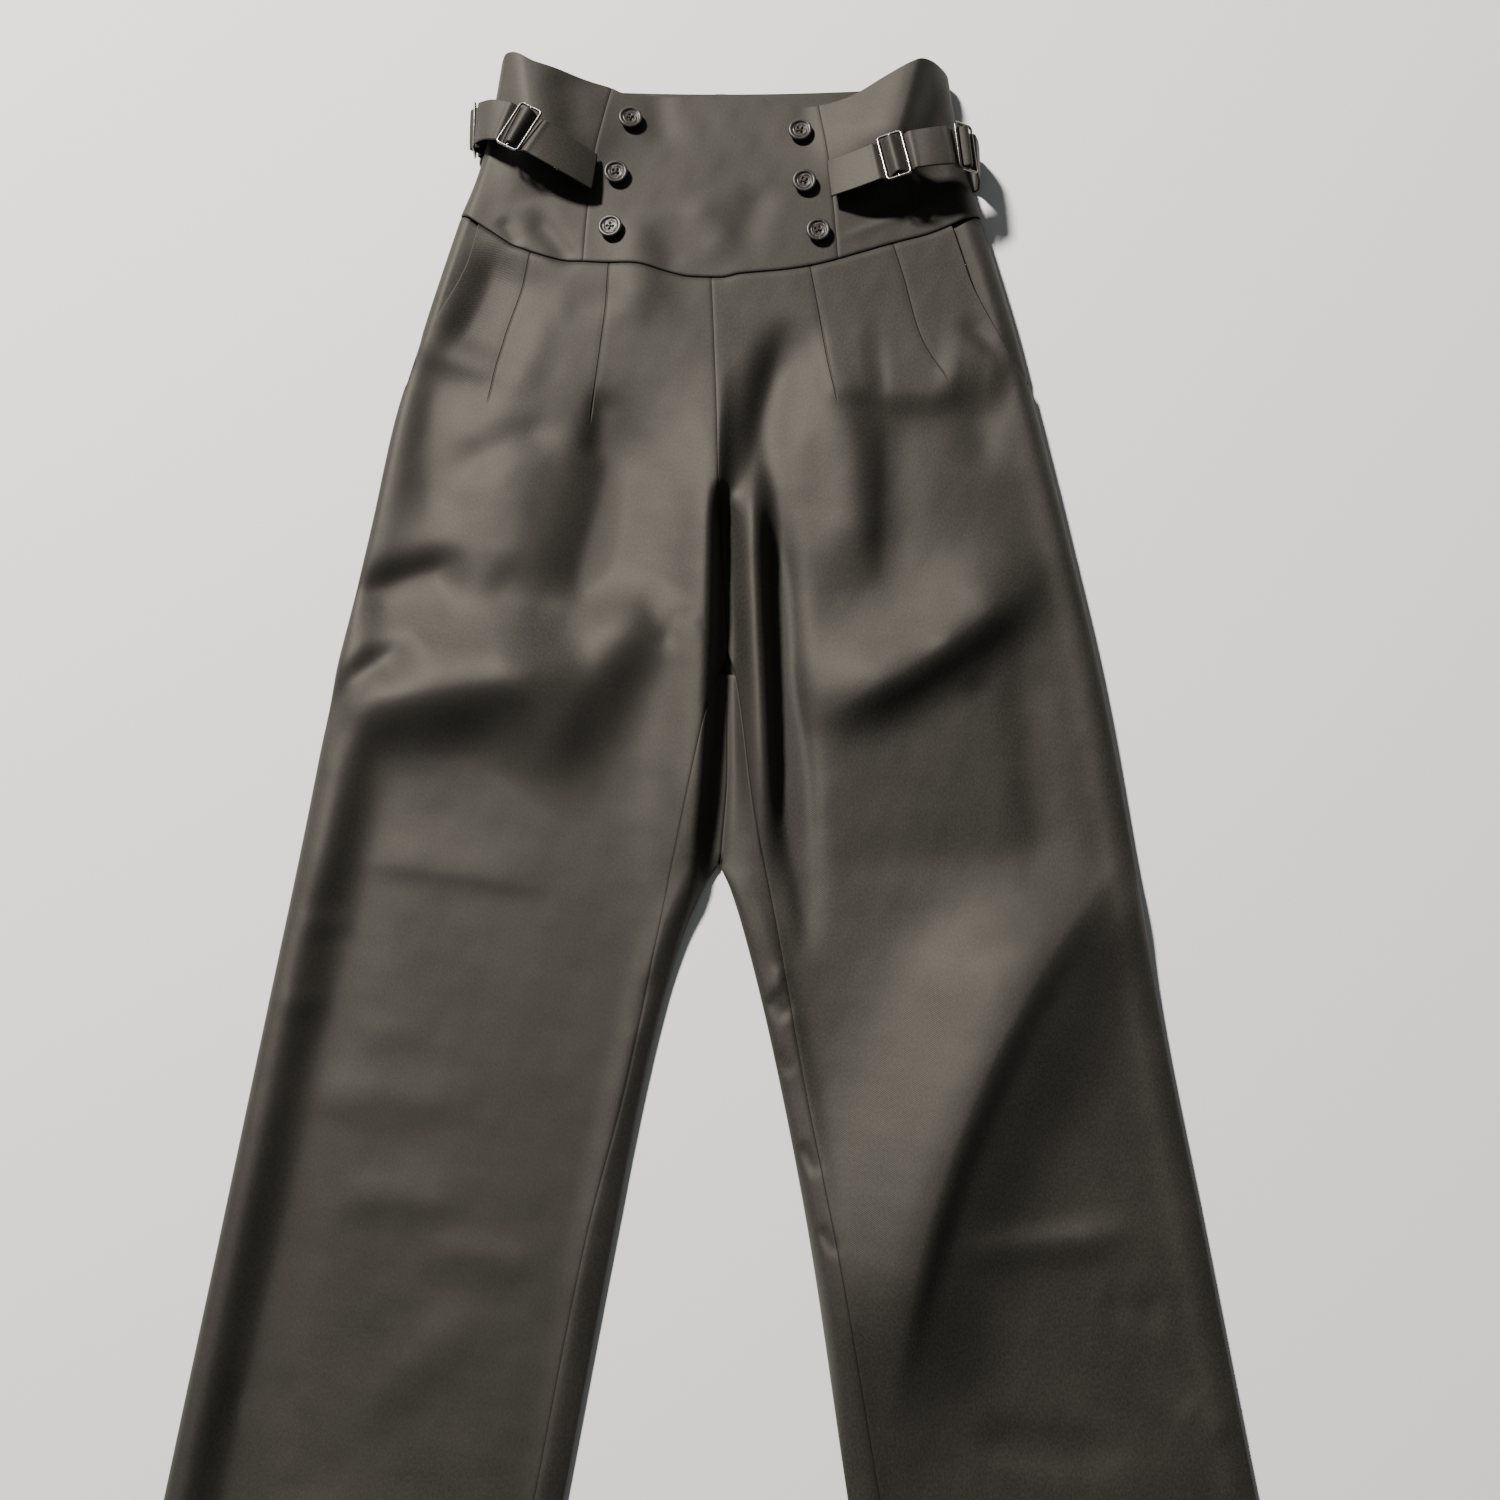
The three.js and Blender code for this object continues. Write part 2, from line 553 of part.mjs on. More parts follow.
// The piece between the pocket mouth and the side seam, which runs on under the front.
function pocketSide(side) {
  const shares = FRONT_ROWS.filter((share) => pocketEndsAbove(legRow(side, share)));
  const rows = shares.map((share) => {
    const row = legRow(side, share);
    const mouth = Math.max(0, walkTo(row, pocketX(side, row)));
    const inner = walkTo(row, row.innerX + (side.sign * SEAM_GAP) / 2);
    const shown = clamp01((mouth - 4) / 12);
    const under = FRONT_COLUMNS.slice(-3, -1).map((t) => mix(inner, mouth, t));
    return [...under, ...steps(5).map((t) => mouth * (1 - t))].map((walk) => {
      const drop = POCKET_DROP * mix(1, ease(walk / Math.max(mouth, 0.1)), shown);
      const hold = [...(walk === 0 ? [UPRIGHT] : []), ...(share === 0 ? [LEVEL_Y] : [])];
      const at = upperPoint(row, walk, drop);
      if (share === 0) at[1] = row.yAt(at[0]) - SEAM_GAP * 1.5;
      return { at, hold };
    });
  });
  return wall([orient(side, rows)]);
}

// ---------------------------------------------------------------- the back, under the front

const GROUND_SHARES = [0, 0.12, 0.3, 0.5, 0.7, 0.88, 1];
const BACK_ROWS = FRONT_ROWS.filter((share, i) => share < 0.4 && i % 2 === 0);
const UNDER_REACH = 6; // how far in the side edge's rounding reaches underneath

// From the side seam down round the edge.
function underEdge(row, high = 0) {
  return steps(3).map((t) => {
    const bend = (t * Math.PI) / 2;
    const x = row.outerX - row.side.sign * UNDER_REACH * (1 - Math.cos(bend));
    const seam = SIDE_SEAM_HIGH - SEAM_GAP;
    const at = [x, row.yAt(x), mix(seam, high, Math.sin(bend))];
    return { at, hold: t === 0 ? [UPRIGHT] : [] };
  });
}

// A row of the back above the apex, from the side seam to the centre back seam.
function backHipRow(side, share) {
  const row = legRow(side, share);
  const from = row.outerX - side.sign * UNDER_REACH;
  const to = (side.sign * SEAM_GAP) / 2;
  const ground = [...GROUND_SHARES.slice(1, -1), 0.94, 1].map((t) => {
    const x = mix(from, to, t);
    return { at: [x, row.yAt(x), 0], hold: t === 1 ? [LEVEL_X] : [] };
  });
  return [...underEdge(row), ...ground];
}

const INNER_REACH = { right: 14, left: 7 }; // how far in the inner edge's rounding reaches

// Below the apex a row of the back runs from the side seam, under the leg, up round its inner edge
// and over to the inseam.
function backLegRow(side, share) {
  const row = legRow(side, share);
  const innerY = row.innerY;
  const edgeX = legInner[side.name](innerY);
  const seamX = row.innerX - (side.sign * SEAM_GAP) / 2;
  const from = row.outerX - side.sign * UNDER_REACH;
  const to = edgeX + side.sign * 4;
  const ground = GROUND_SHARES.slice(1).map((t) => {
    const x = mix(from, to, t);
    return { at: [x, row.yAt(x), 0] };
  });
  const turn = { at: [edgeX, row.yAt(edgeX), INNER_FOLD_HIGH] };
  const reach = Math.min(INNER_REACH[side.name], 0.8 * Math.abs(row.innerX - edgeX));
  const over = [0.45, 0.75, 1].map((t) => {
    const bend = (t * Math.PI) / 2;
    const x = edgeX + side.sign * reach * (1 - Math.cos(bend));
    const y = row.yAt(x);
    return { at: [x, y, mix(INNER_FOLD_HIGH, topHigh(x, y), Math.sin(bend))] };
  });
  const topX = edgeX + side.sign * reach;
  const strip = [0.5, 1].map((t) => {
    const x = mix(topX, seamX, t);
    const y = row.yAt(x);
    return { at: [x, y, topHigh(x, y)], hold: t === 1 ? [LEVEL_X] : [] };
  });
  return { ground: [...underEdge(row), ...ground, turn], over: [turn, ...over, ...strip] };
}

// The crotch of the back shows between the fronts as a tongue in the bottom of the valley.
function crotchRow(side, y) {
  const seamX = frontInner(side, y) - (side.sign * SEAM_GAP) / 2;
  const middleX = valleyX(y) + (side.sign * SEAM_GAP) / 2;
  const reach = side.sign * Math.max(side.sign * (seamX - middleX), 1.2);
  return [0, 0.15, 0.35, 0.6, 0.8, 1].map((t) => {
    const x = middleX + reach * t;
    return { at: [x, y, topHigh(x, y)], hold: t === 0 || t === 1 ? [LEVEL_X] : [] };
  });
}

function backLeg(side) {
  const lower = FRONT_ROWS.slice(24).map((share) => backLegRow(side, share));
  const upper = BACK_ROWS.map((share) => backHipRow(side, share));
  const tongue = FRONT_ROWS.map((share) => legRow(side, share).innerY)
    .filter((y) => y > APEX_Y + 1 && y < TONGUE_TOP)
    .map((y) => crotchRow(side, y));
  return wall([
    orient(side, [...upper, lower[0].ground]),
    orient(side, lower.map((row) => row.ground)),
    orient(side, lower.map((row) => row.over)),
    orient(side, [...tongue, lower[0].over]),
  ]);
}

// ---------------------------------------------------------------- the waist

const WAIST_ROWS = steps(9);

function waistRow(side, share) {
  const outerY = mix(WAIST_SEAM_ENDS.side + SEAM_GAP, WAIST_TOP_SIDE, share);
  const outerX = sideEdge[side.name](outerY);
  const yAt = (x) => mix(waistSeamY(x) + SEAM_GAP, waistTop(x), share);
  return { side, outerX, outerY, yAt, reach: roundReach[side.name](outerY) };
}

function waistSeamX(side, row) {
  let x = panelSeam[side.name](1100);
  for (let i = 0; i < 6; i++) x = panelSeam[side.name](row.yAt(x));
  return x;
}

const edgeHold = (share) => (share === 0 || share === 1 ? [LEVEL_Y] : []);

function waistSide(side) {
  const rows = WAIST_ROWS.map((share) => {
    const row = waistRow(side, share);
    const inner = walkTo(row, waistSeamX(side, row) + (side.sign * SEAM_GAP) / 2);
    return steps(11).map((t) => ({
      at: upperPoint(row, inner * (1 - t)),
      hold: [...(t === 0 ? [LEVEL_X] : t === 1 ? [UPRIGHT] : []), ...edgeHold(share)],
    }));
  });
  return wall([orient({ sign: -side.sign }, rows)]);
}

function waistCentre() {
  const rows = WAIST_ROWS.map((share) => {
    const [from, to] = SIDES.map((side) => {
      const row = waistRow(side, share);
      return waistSeamX(side, row) - (side.sign * SEAM_GAP) / 2;
    });
    const row = waistRow(SIDES[0], share);
    return steps(12).map((t) => {
      const x = mix(from, to, t);
      const y = row.yAt(x);
      const hold = [...(t === 0 || t === 1 ? [LEVEL_X] : []), ...edgeHold(share)];
      return { at: [x, y, topHigh(x, y)], hold };
    });
  });
  return wall([rows]);
}

// The back waist lies on the surface, lifted a little where the end of a strap is under it.
function waistBackHigh(side, x, y) {
  const across = ease((Math.abs(x) - 66) / 30);
  const along = 1 - ease((Math.abs(y - STRAP_LIES[side.name].backY) - 20) / 20);
  return 2.6 * across * along;
}

function waistBack(side) {
  const rows = steps(8).map((share) => {
    const front = waistRow(side, share);
    const yAt = (x) => mix(waistSeamY(x) + SEAM_GAP, mix(BACK_TOP, WAIST_TOP_SIDE, (x / 176) ** 2), share);
    const row = { ...front, yAt };
    const from = row.outerX - side.sign * UNDER_REACH;
    const edge = underEdge(row, waistBackHigh(side, from, yAt(from)));
    const ground = GROUND_SHARES.slice(1).map((t) => {
      const x = mix(from, (side.sign * SEAM_GAP) / 2, t);
      const y = yAt(x);
      const hold = [...(t === 1 ? [LEVEL_X] : []), ...edgeHold(share)];
      return { at: [x, y, waistBackHigh(side, x, y)], hold };
    });
    return [...edge, ...ground];
  });
  return wall([orient({ sign: -side.sign }, rows)]);
}

// ---------------------------------------------------------------- straps, sliders and buttons

const strapCurve = (name) =>
  new THREE.CatmullRomCurve3(STRAPS[name].map(({ x, y, z }) => new THREE.Vector3(x, y, z)));

// A point of a strap's middle line and its axes there: along it, across it and out of it.
function strapFrame(curve, length, side, walk) {
  const at = curve.getPointAt(clamp01(walk / length));
  const along = curve.getTangentAt(clamp01(walk / length));
  const across = new THREE.Vector3(0, 1, 0);
  across.addScaledVector(along, -across.dot(along)).normalize();
  const out = along.clone().cross(across).multiplyScalar(side.sign);
  return { at, along, across, out };
}

// How far the strap leaves its middle line: under a slider's end bars and over its centre bar.
function weave(side, walk) {
  const pitch = (SLIDER.along - SLIDER.wire) / 2;
  return STRAP_LIES[side.name].slidersAt.reduce((sum, at) => {
    const off = (walk - at) / pitch;
    return sum + SLIDER.weave * Math.cos(Math.PI * off) * Math.exp(-((off / 1.6) ** 6));
  }, 0);
}

function strap(side) {
  const curve = strapCurve(side.name);
  const length = curve.getLength();
  const walks = [];
  for (let walk = 0; walk < length; ) {
    walks.push(walk);
    const near = STRAP_LIES[side.name].slidersAt.some((at) => Math.abs(walk - at) < 15);
    walk += near ? 2.9 : walk < 150 ? 5 : 12;
  }
  walks.push(length);
  const rows = walks.map((walk) => {
    const { at, along, across, out } = strapFrame(curve, length, side, walk);
    at.addScaledVector(out, weave(side, walk) + STRAP.thick / 2);
    const lean = STRAP_LIES[side.name].lean * (1 - ease(walk / 30));
    return [-0.5, 0.5].map((t) => {
      const edge = at.clone().addScaledVector(across, t * STRAP.wide);
      edge.addScaledVector(along, lean * t * STRAP.wide);
      edge.z = Math.max(edge.z, 0);
      return { at: edge.toArray() };
    });
  });
  return wall([orient({ sign: side.sign }, rows)], STRAP.thick);
}

// A closed wire along a rounded rectangle, with a bar across its middle.
function slider(side, number) {
  const { slidersAt, slidersTurned } = STRAP_LIES[side.name];
  const curve = strapCurve(side.name);
  const { at, along, across } = strapFrame(curve, curve.getLength(), side, slidersAt[number]);
  const [halfAlong, halfAcross] = [SLIDER.along, SLIDER.across].map((s) => (s - SLIDER.wire) / 2);
  const corners = [[1, 1], [-1, 1], [-1, -1], [1, -1]];
  const path = corners.flatMap(([sx, sy], i) =>
    steps(2).map((t) => {
      const turn = ((i + t) * Math.PI) / 2;
      const [cx, cy] = [sx * (halfAlong - SLIDER.corner), sy * (halfAcross - SLIDER.corner)];
      return { x: cx + SLIDER.corner * Math.cos(turn), y: cy + SLIDER.corner * Math.sin(turn), turn };
    }),
  );
  const sides = 6;
  const ring = path.flatMap(({ x, y, turn }) =>
    steps(sides).slice(0, sides).map((s) => {
      const [c, z] = [Math.cos(2 * Math.PI * s), Math.sin(2 * Math.PI * s)];
      const r = SLIDER.wire / 2;
      return new THREE.Vector3(x + r * c * Math.cos(turn), y + r * c * Math.sin(turn), r * z);
    }),
  );
  const id = (i, k) => (i % path.length) * sides + (k % sides);
  const triangles = path.flatMap((_, i) =>
    steps(sides).slice(0, sides).flatMap((_, k) => [
      [id(i, k), id(i + 1, k), id(i + 1, k + 1)],
      [id(i, k), id(i + 1, k + 1), id(i, k + 1)],
    ]),
  );
  const bar = new THREE.CylinderGeometry(SLIDER.wire / 2, SLIDER.wire / 2, halfAcross * 2, sides);
  const made = solid(indexed(ring, triangles)).add(solid(bar));
  const place = new THREE.Matrix4().makeBasis(along, across, along.clone().cross(across));
  place.multiply(new THREE.Matrix4().makeRotationZ((slidersTurned[number] * Math.PI) / 180));
  place.setPosition(at);
  return geometryOf(made).applyMatrix4(place);
}

function topNormal(x, y) {
  const step = 4;
  const slopeX = (topHigh(x + step, y) - topHigh(x - step, y)) / (2 * step);
  const slopeY = (topHigh(x, y + step) - topHigh(x, y - step)) / (2 * step);
  return new THREE.Vector3(-slopeX, -slopeY, 1).normalize();
}

// A round button with a raised rim and a dished face, on a thread shank.
function button() {
  const [r, t, s] = [BUTTON.across / 2, BUTTON.thick, BUTTON.shank];
  const outline = [
    [0, 0], [BUTTON.shankWide / 2, 0], [BUTTON.shankWide / 2, s], [r * 0.7, s], [r, s + t * 0.4],
    [r, s + t * 0.75], [r * 0.9, s + t], [r * 0.76, s + t * 0.96], [r * 0.6, s + t * 0.6], [0, s + t * 0.55],
  ];
  const turned = new THREE.LatheGeometry(outline.map(([x, y]) => new THREE.Vector2(x, y)), 12);
  return turned.rotateX(Math.PI / 2);
}

// ---------------------------------------------------------------- the trousers

const FINISH = {
  suiting: new THREE.MeshStandardMaterial({ color: 0x4c4740, roughness: 0.8, metalness: 0 }),
  horn: new THREE.MeshStandardMaterial({ color: 0x35302b, roughness: 0.35, metalness: 0 }),
  metal: new THREE.MeshStandardMaterial({ color: 0x8a8884, roughness: 0.3, metalness: 1 }),
};
const trousers = new THREE.Group();

function piece(name, geometry, finish) {
  const mesh = new THREE.Mesh(geometry, FINISH[finish]);
  mesh.name = name;
  trousers.add(mesh);
  return mesh;
}

for (const side of SIDES) {
  piece(`front_${side.name}`, frontLeg(side), "suiting");
  piece(`pocket_side_${side.name}`, pocketSide(side), "suiting");
  piece(`back_${side.name}`, backLeg(side), "suiting");
  piece(`waist_side_${side.name}`, waistSide(side), "suiting");
  piece(`waist_back_${side.name}`, waistBack(side), "suiting");
  piece(`strap_${side.name}`, strap(side), "suiting");
  for (const i of [0, 1]) piece(`slider_${side.name}_${i + 1}`, slider(side, i), "metal");
}
piece("waist_centre", waistCentre(), "suiting");
for (const { name, x, y } of BUTTONS) {
  const mesh = piece(name, button(), "horn");
  mesh.position.set(x, y, topHigh(x, y)).addScaledVector(topNormal(x, y), 0.4);
  mesh.quaternion.setFromUnitVectors(UPRIGHT, topNormal(x, y));
}

// The part's origin is the middle of its underside.
const bounds = new THREE.Box3().setFromObject(trousers);
const middle = bounds.getCenter(new THREE.Vector3());
trousers.position.set(-middle.x, -middle.y, -bounds.min.z);

export default trousers;
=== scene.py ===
"""High-waisted straight trousers laid out flat: cloth shells, straps, sliders, buttons and a stage.

The tables below are in millimetres, with y counted from the lowest corner of the hems and x from the
middle of the garment. right and left are the wearer's. Everything is built in the row's own frame.
"""

import bpy
import numpy as np
from bpy.props import FloatProperty, FloatVectorProperty, IntProperty, PointerProperty
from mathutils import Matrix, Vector


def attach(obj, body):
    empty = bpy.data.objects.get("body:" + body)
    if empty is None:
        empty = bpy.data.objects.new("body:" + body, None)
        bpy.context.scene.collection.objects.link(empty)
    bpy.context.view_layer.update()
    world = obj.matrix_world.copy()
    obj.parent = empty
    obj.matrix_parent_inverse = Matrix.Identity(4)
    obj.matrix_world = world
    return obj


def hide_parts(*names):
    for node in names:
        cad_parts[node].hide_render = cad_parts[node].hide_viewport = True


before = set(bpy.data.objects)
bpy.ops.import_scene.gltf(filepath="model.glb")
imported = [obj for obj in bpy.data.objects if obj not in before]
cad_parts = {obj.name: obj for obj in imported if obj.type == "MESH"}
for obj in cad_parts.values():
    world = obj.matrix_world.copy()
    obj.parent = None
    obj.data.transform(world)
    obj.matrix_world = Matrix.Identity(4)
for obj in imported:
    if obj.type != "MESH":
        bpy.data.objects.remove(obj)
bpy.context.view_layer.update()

bl_info = {
    "name": "High-waisted trousers, laid flat",
    "version": (1, 0, 0),
    "blender": (4, 5, 0),
    "location": "3D View > Sidebar > Trousers",
    "description": "Builds high-waisted straight trousers that lie flat, with straps and buttons",
    "category": "Object",
}

# ---- sizes, as the solids have them

MM = 0.001
SHIFT = np.array([3.13, -601.35, 0.0])  # from the tables' origin to the row's
SEAM_GAP = 0.3  # between two pieces that meet
SIDE_SEAM_HIGH = 5.0
INNER_FOLD_HIGH = 3.0
LEAST_HIGH = 3.9  # of the upper layer over the floor
POCKET_LEAST = 3.2  # more of it by the pockets
WAIST_CENTRE_Y, WAIST_SIDE_Y = 1031.0, 1084.0  # the waist seam's ends
WAIST_TOP_SIDE = 1203.0
BACK_TOP = 1195.5
HEM_OUTER = 43.0  # y of the hems' outer corners
CROTCH_Y = 745.0
APEX_Y = 595.0  # where the legs' inner edges meet
TONGUE_TOP = 728.0  # upper end of what shows of the backs between the fronts
POCKET_LOW = 940.0
UNDER_REACH = 6.0  # how far in from the side edge the backs come down to the floor
INNER_REACH = {"right": 14.0, "left": 7.0}  # width of the bend at a leg's inner edge
STRAP_BACK_Y = {"right": 1156.0, "left": 1125.0}  # where each strap goes under the back
STRAP_LEAN = {"right": 0.1, "left": -0.1}  # how much a strap's end leans with its seam

# Lengths over which the grids' rows and columns are spaced.
FRONT_LONG, FRONT_WIDE = 1036.0, 244.0
WAIST_HIGH, WAIST_SIDE_WIDE, WAIST_CENTRE_WIDE = 150.0, 112.0, 180.0

# The rims beside the edges: distance in and width. The valley's ends and sides.
RIM_IN, RIM_WIDE = 14, 9
VALLEY_FADE, VALLEY_POWER = 35, 2.6
SOFT_FLOOR = 2  # height over which the upper layer settles on the one below

# Grooves, each as depth and width: the waist seam on the fronts, on the pocket pieces and on the
# waist, and the side seam. Then the darts' depth, half width and fade at the point.
FRONT_TOP_GROOVE = (1.5, 2.2)
POCKET_TOP_GROOVE = (1.2, 2.2)
WAIST_LOW_GROOVE = (0.5, 1.0)
SIDE_GROOVE = (0.5, 1.2)
DART_DEEP, DART_WIDE, DART_FADE = 0.3, 2.0, 30
POCKET_DROP = 3.3  # how far inside the front's face the pocket pieces lie
FAR = 40.0  # a distance from a dart that shows nothing
WELD = 400  # points within 1/400 mm of each other become one
RIM_BULGE = 0.45  # how far an edge's middle line stands out, in thicknesses

SIDES = {"right": -1, "left": 1}

# Side edge: y, x on the wearer's right, x on the wearer's left.
SIDE_EDGE = [
    (0, -383, 377), (190, -354, 347), (360, -328, 322), (480, -310, 304), (600, -292, 290),
    (720, -275, 274), (840, -254, 252), (920, -241, 236), (1000, -221, 219), (1092, -196, 196),
    (1140, -183, 185), (1203, -171, 176),
]

# Inseams, up to the crotch: y, right, left. The centre front seam above it: y, x.
INSEAM = [
    (0, -148, 137), (190, -115, 104), (340, -87, 78), (440, -62, 59), (540, -42, 42),
    (640, -22, 23), (705, -7, 15), (730, 1, 11), (745, 6, 6),
]
CENTRE_SEAM = [(745, 6), (800, 3), (880, -1), (940, -3), (1036, -7)]

# Inner edge of each leg: y, right, left.
LEG_INNER = [
    (0, -131, 113), (190, -97, 84), (340, -70, 62), (460, -47, 39), (540, -26, 20), (580, -10, 8),
    (595, -1.5, 1.5),
]

# Pocket mouth: y, right, left.
POCKET = [
    (938, -236, 233), (960, -228, 219), (1000, -209, 198), (1025, -196, 187), (1045, -188, 181),
    (1090, -178, 168),
]

# The two seams of the waist's centre front: y, right, left.
WAIST_PANEL_SEAM = [(1030, -104, 89), (1110, -98, 83), (1165, -88, 75), (1200, -80, 70)]

# The waist seam: x, y.
WAIST_SEAM = [
    (-197, 1084), (-172, 1067), (-150, 1054), (-128, 1047), (-100, 1043), (-63, 1040), (-41, 1035),
    (-22, 1031), (0, 1030.5), (15, 1033.5), (46, 1036.5), (72, 1041), (100, 1049), (133, 1059),
    (155, 1065), (176, 1074), (197, 1084),
]

# Upper edge of the waist's front: x, y.
WAIST_TOP = [
    (-172, 1203), (-164, 1208), (-140, 1197), (-120, 1193), (-100, 1188.5), (-84, 1185),
    (-75, 1181.5), (-60, 1181), (-28, 1179), (0, 1181.5), (22, 1179), (45, 1174), (70, 1170),
    (95, 1173), (125, 1184), (150, 1195), (176, 1203),
]

# Lay of the upper layer: y, height, outer rim, inner rim, rounding on the right, and on the left.
LAY = [
    (0, 5.5, 1, 1, 7, 7), (190, 6.5, 1.5, 2, 8, 8), (600, 9, 1.5, 3, 8, 8),
    (700, 11.5, 1.5, 3, 8, 9), (840, 15, 1, 0, 9, 11), (940, 18, 1, 0, 10, 14),
    (1036, 21, 1, 0, 11, 18), (1120, 23, 0, 0, 10, 18), (1206, 22, 0, 0, 9, 16),
]

# Valley between the fronts: y, x, half width, share.
VALLEY = [
    (560, 0, 13, 1), (600, 2, 12, 1), (660, 6, 10, 1), (745, 6, 9, 1), (800, 5, 8, 1),
    (840, 4, 7, 0.9), (868, 3, 5, 0),
]

# Folds that the solids have too: x1, y1, x2, y2, bow, height, left flank, right flank.
FOLDS = [
    # right hip and thigh
    (-300, 706, -88, 736, -8, 25, 42, 30), (-142, 640, -34, 794, 8, 16, 38, 30),
    (-296, 680, -212, 752, 4, -12, 13, 26), (-274, 777, -176, 812, 3, -9, 14, 28),
    (-246, 962, -148, 938, 0, -4, 16, 20), (-212, 985, -208, 815, 0, -6, 26, 20),
    (-162, 1062, -202, 962, 4, -8, 46, 14), (-206, 872, -106, 918, 3, -4.5, 16, 16),
    (-72, 960, -116, 730, 10, -12, 30, 24), (-154, 935, -150, 770, 0, 6, 30, 34),
    (2, 985, -26, 490, 3, 15, 8, 27),
    # left hip and thigh
    (23, 930, 37, 562, 0, 17, 10, 13), (36, 892, 52, 566, 0, -15, 14, 12),
    (56, 1004, 20, 838, -7, -11, 20, 13), (84, 966, 95, 782, 7, 9, 21, 27),
    (124, 930, 118, 780, 0, -4, 24, 10), (66, 942, 122, 946, 0, 4.5, 34, 15),
    (104, 940, 180, 938, 0, 4, 34, 14), (156, 954, 216, 946, 0, 5, 30, 16),
    (70, 921, 212, 917, 0, -2, 14, 22), (197, 972, 190, 870, 0, -3, 16, 16),
    (52, 690, 238, 816, -15, 20, 36, 20),
    # legs
    (-242, 792, -391, -140, 0, 11, 20, 26), (-223, 792, -370, -140, 0, -5, 26, 18),
    (-250, 732, -276, 540, 0, 5, 16, 16), (290, 592, 100, 170, -38, 25, 42, 70),
    (118, 500, 330, 576, 0, 6, 24, 28), (-302, 434, -150, 431, 0, 1.8, 20, 16),
    (-262, 369, -158, 363, 0, 2, 18, 13), (148, 332, 288, 345, 0, 4, 10, 14),
    # waist
    (166, 1262, 118, 1085, 0, 25, 17, 42), (-156, 1262, -134, 1092, 0, 19, 44, 22),
    (-146, 1088, -104, 1034, 0, -2.8, 8, 10), (-62, 1090, -62, 985, 0, 4, 20, 20),
]

# Smaller creases, in the same columns.
CREASES = [
    # right hip and thigh
    (-86, 945, -93, 884, 0, -2.6, 10, 8), (-58, 790, -30, 735, 0, -1, 9, 9),
    (-24, 776, -42, 742, 0, -0.9, 7, 6), (-16, 764, -2, 746, 0, -1, 4, 4),
    (-128, 1010, -150, 930, 0, 1.6, 12, 11), (-64, 1020, -120, 1000, 0, -1.5, 12, 14),
    (-170, 800, -110, 770, 0, -2, 16, 18), (-262, 598, -108, 574, 0, 2, 20, 10),
    (-292, 546, -246, 553, 0, 1.2, 9, 9), (-300, 494, -262, 498, 0, 1, 9, 9),
    # right leg
    (-206, 335, -106, 322, 0, 1.4, 14, 14), (-146, 302, -244, 222, 0, 1.6, 18, 16),
    (-250, 470, -190, 476, 0, 0.8, 14, 14), (-322, 236, -270, 246, 0, -1.6, 12, 14),
    (-300, 172, -180, 150, 0, 1.8, 16, 16), (-280, 90, -160, 104, 0, 1.8, 18, 14),
    # left hip and thigh
    (148, 754, 186, 712, 0, 2.5, 12, 12), (216, 770, 226, 560, 0, -3, 22, 16),
    (56, 920, 66, 850, 0, 0.8, 10, 10), (48, 706, 63, 516, 0, -5, 12, 8),
    (178, 1000, 214, 960, 0, -2, 8, 8),
    # left leg
    (292, 610, 108, 214, -36, 13, 13, 50), (60, 590, 260, 598, 0, -1.8, 20, 16),
    (160, 216, 270, 204, 0, -3, 12, 12), (250, 300, 300, 292, 0, -1.4, 12, 12),
    (300, 240, 336, 216, 0, 1.4, 12, 12), (140, 130, 280, 112, 0, 2, 18, 14),
    (180, 60, 300, 74, 0, -2, 14, 16),
    # inner edges
    (32, 500, 50, 484, 0, -2, 6, 6), (44, 522, 38, 500, 0, 1.4, 5, 5),
    (36, 462, 50, 446, 0, -1.4, 6, 5), (54, 404, 68, 380, 0, -1.8, 5, 4),
    (66, 350, 80, 330, 0, -1.6, 5, 4), (-44, 520, -60, 470, 0, -1, 5, 6),
    # waist
    (-120, 1200, -108, 1130, 0, -2.4, 15, 12), (-50, 1196, -42, 1130, 0, -1.6, 12, 13),
    (64, 1190, 66, 1130, 0, -1, 9, 9), (-20, 1100, 6, 1040, 0, 1.5, 16, 16),
    (34, 1110, 14, 1048, 0, -1.6, 12, 12), (-50, 1080, -32, 1030, 0, -1, 12, 12),
    (-166, 1080, -150, 1052, 0, -1.6, 6, 6), (80, 1058, 200, 1105, 0, 0.8, 2.6, 5),
    (92, 1074, 176, 1106, 0, -1.2, 6, 6),
]
FOLD_END = 0.32

# Unevenness of the cloth, as waves: turns along x and y, and start.
WAVES = [
    (0.071, 0.023, 0.3), (-0.043, 0.061, 1.9), (0.117, -0.052, 4.1), (0.031, 0.143, 2.7),
    (0.19, 0.11, 5.2),
]

# Darts of the fronts: for each side, rows of y, x from the point up to the waist seam.
DARTS = {
    "right": [
        [(915, -96), (970, -89), (1010, -85), (1047, -83)],
        [(930, -172), (985, -160), (1025, -148), (1056, -141)],
    ],
    "left": [
        [(928, 86), (960, 80), (1005, 73), (1040, 67)],
        [(944, 169), (985, 148), (1030, 137), (1055, 130)],
    ],
}

# Buttons: x, y and how far each is turned, in degrees.
BUTTONS = {
    "button_right_top": (-69, 1158, 12),
    "button_right_middle": (-79, 1113, 50),
    "button_right_bottom": (-82, 1068, -8),
    "button_left_top": (60, 1148, 35),
    "button_left_middle": (63, 1106, 24),
    "button_left_bottom": (73, 1066, 62),
}

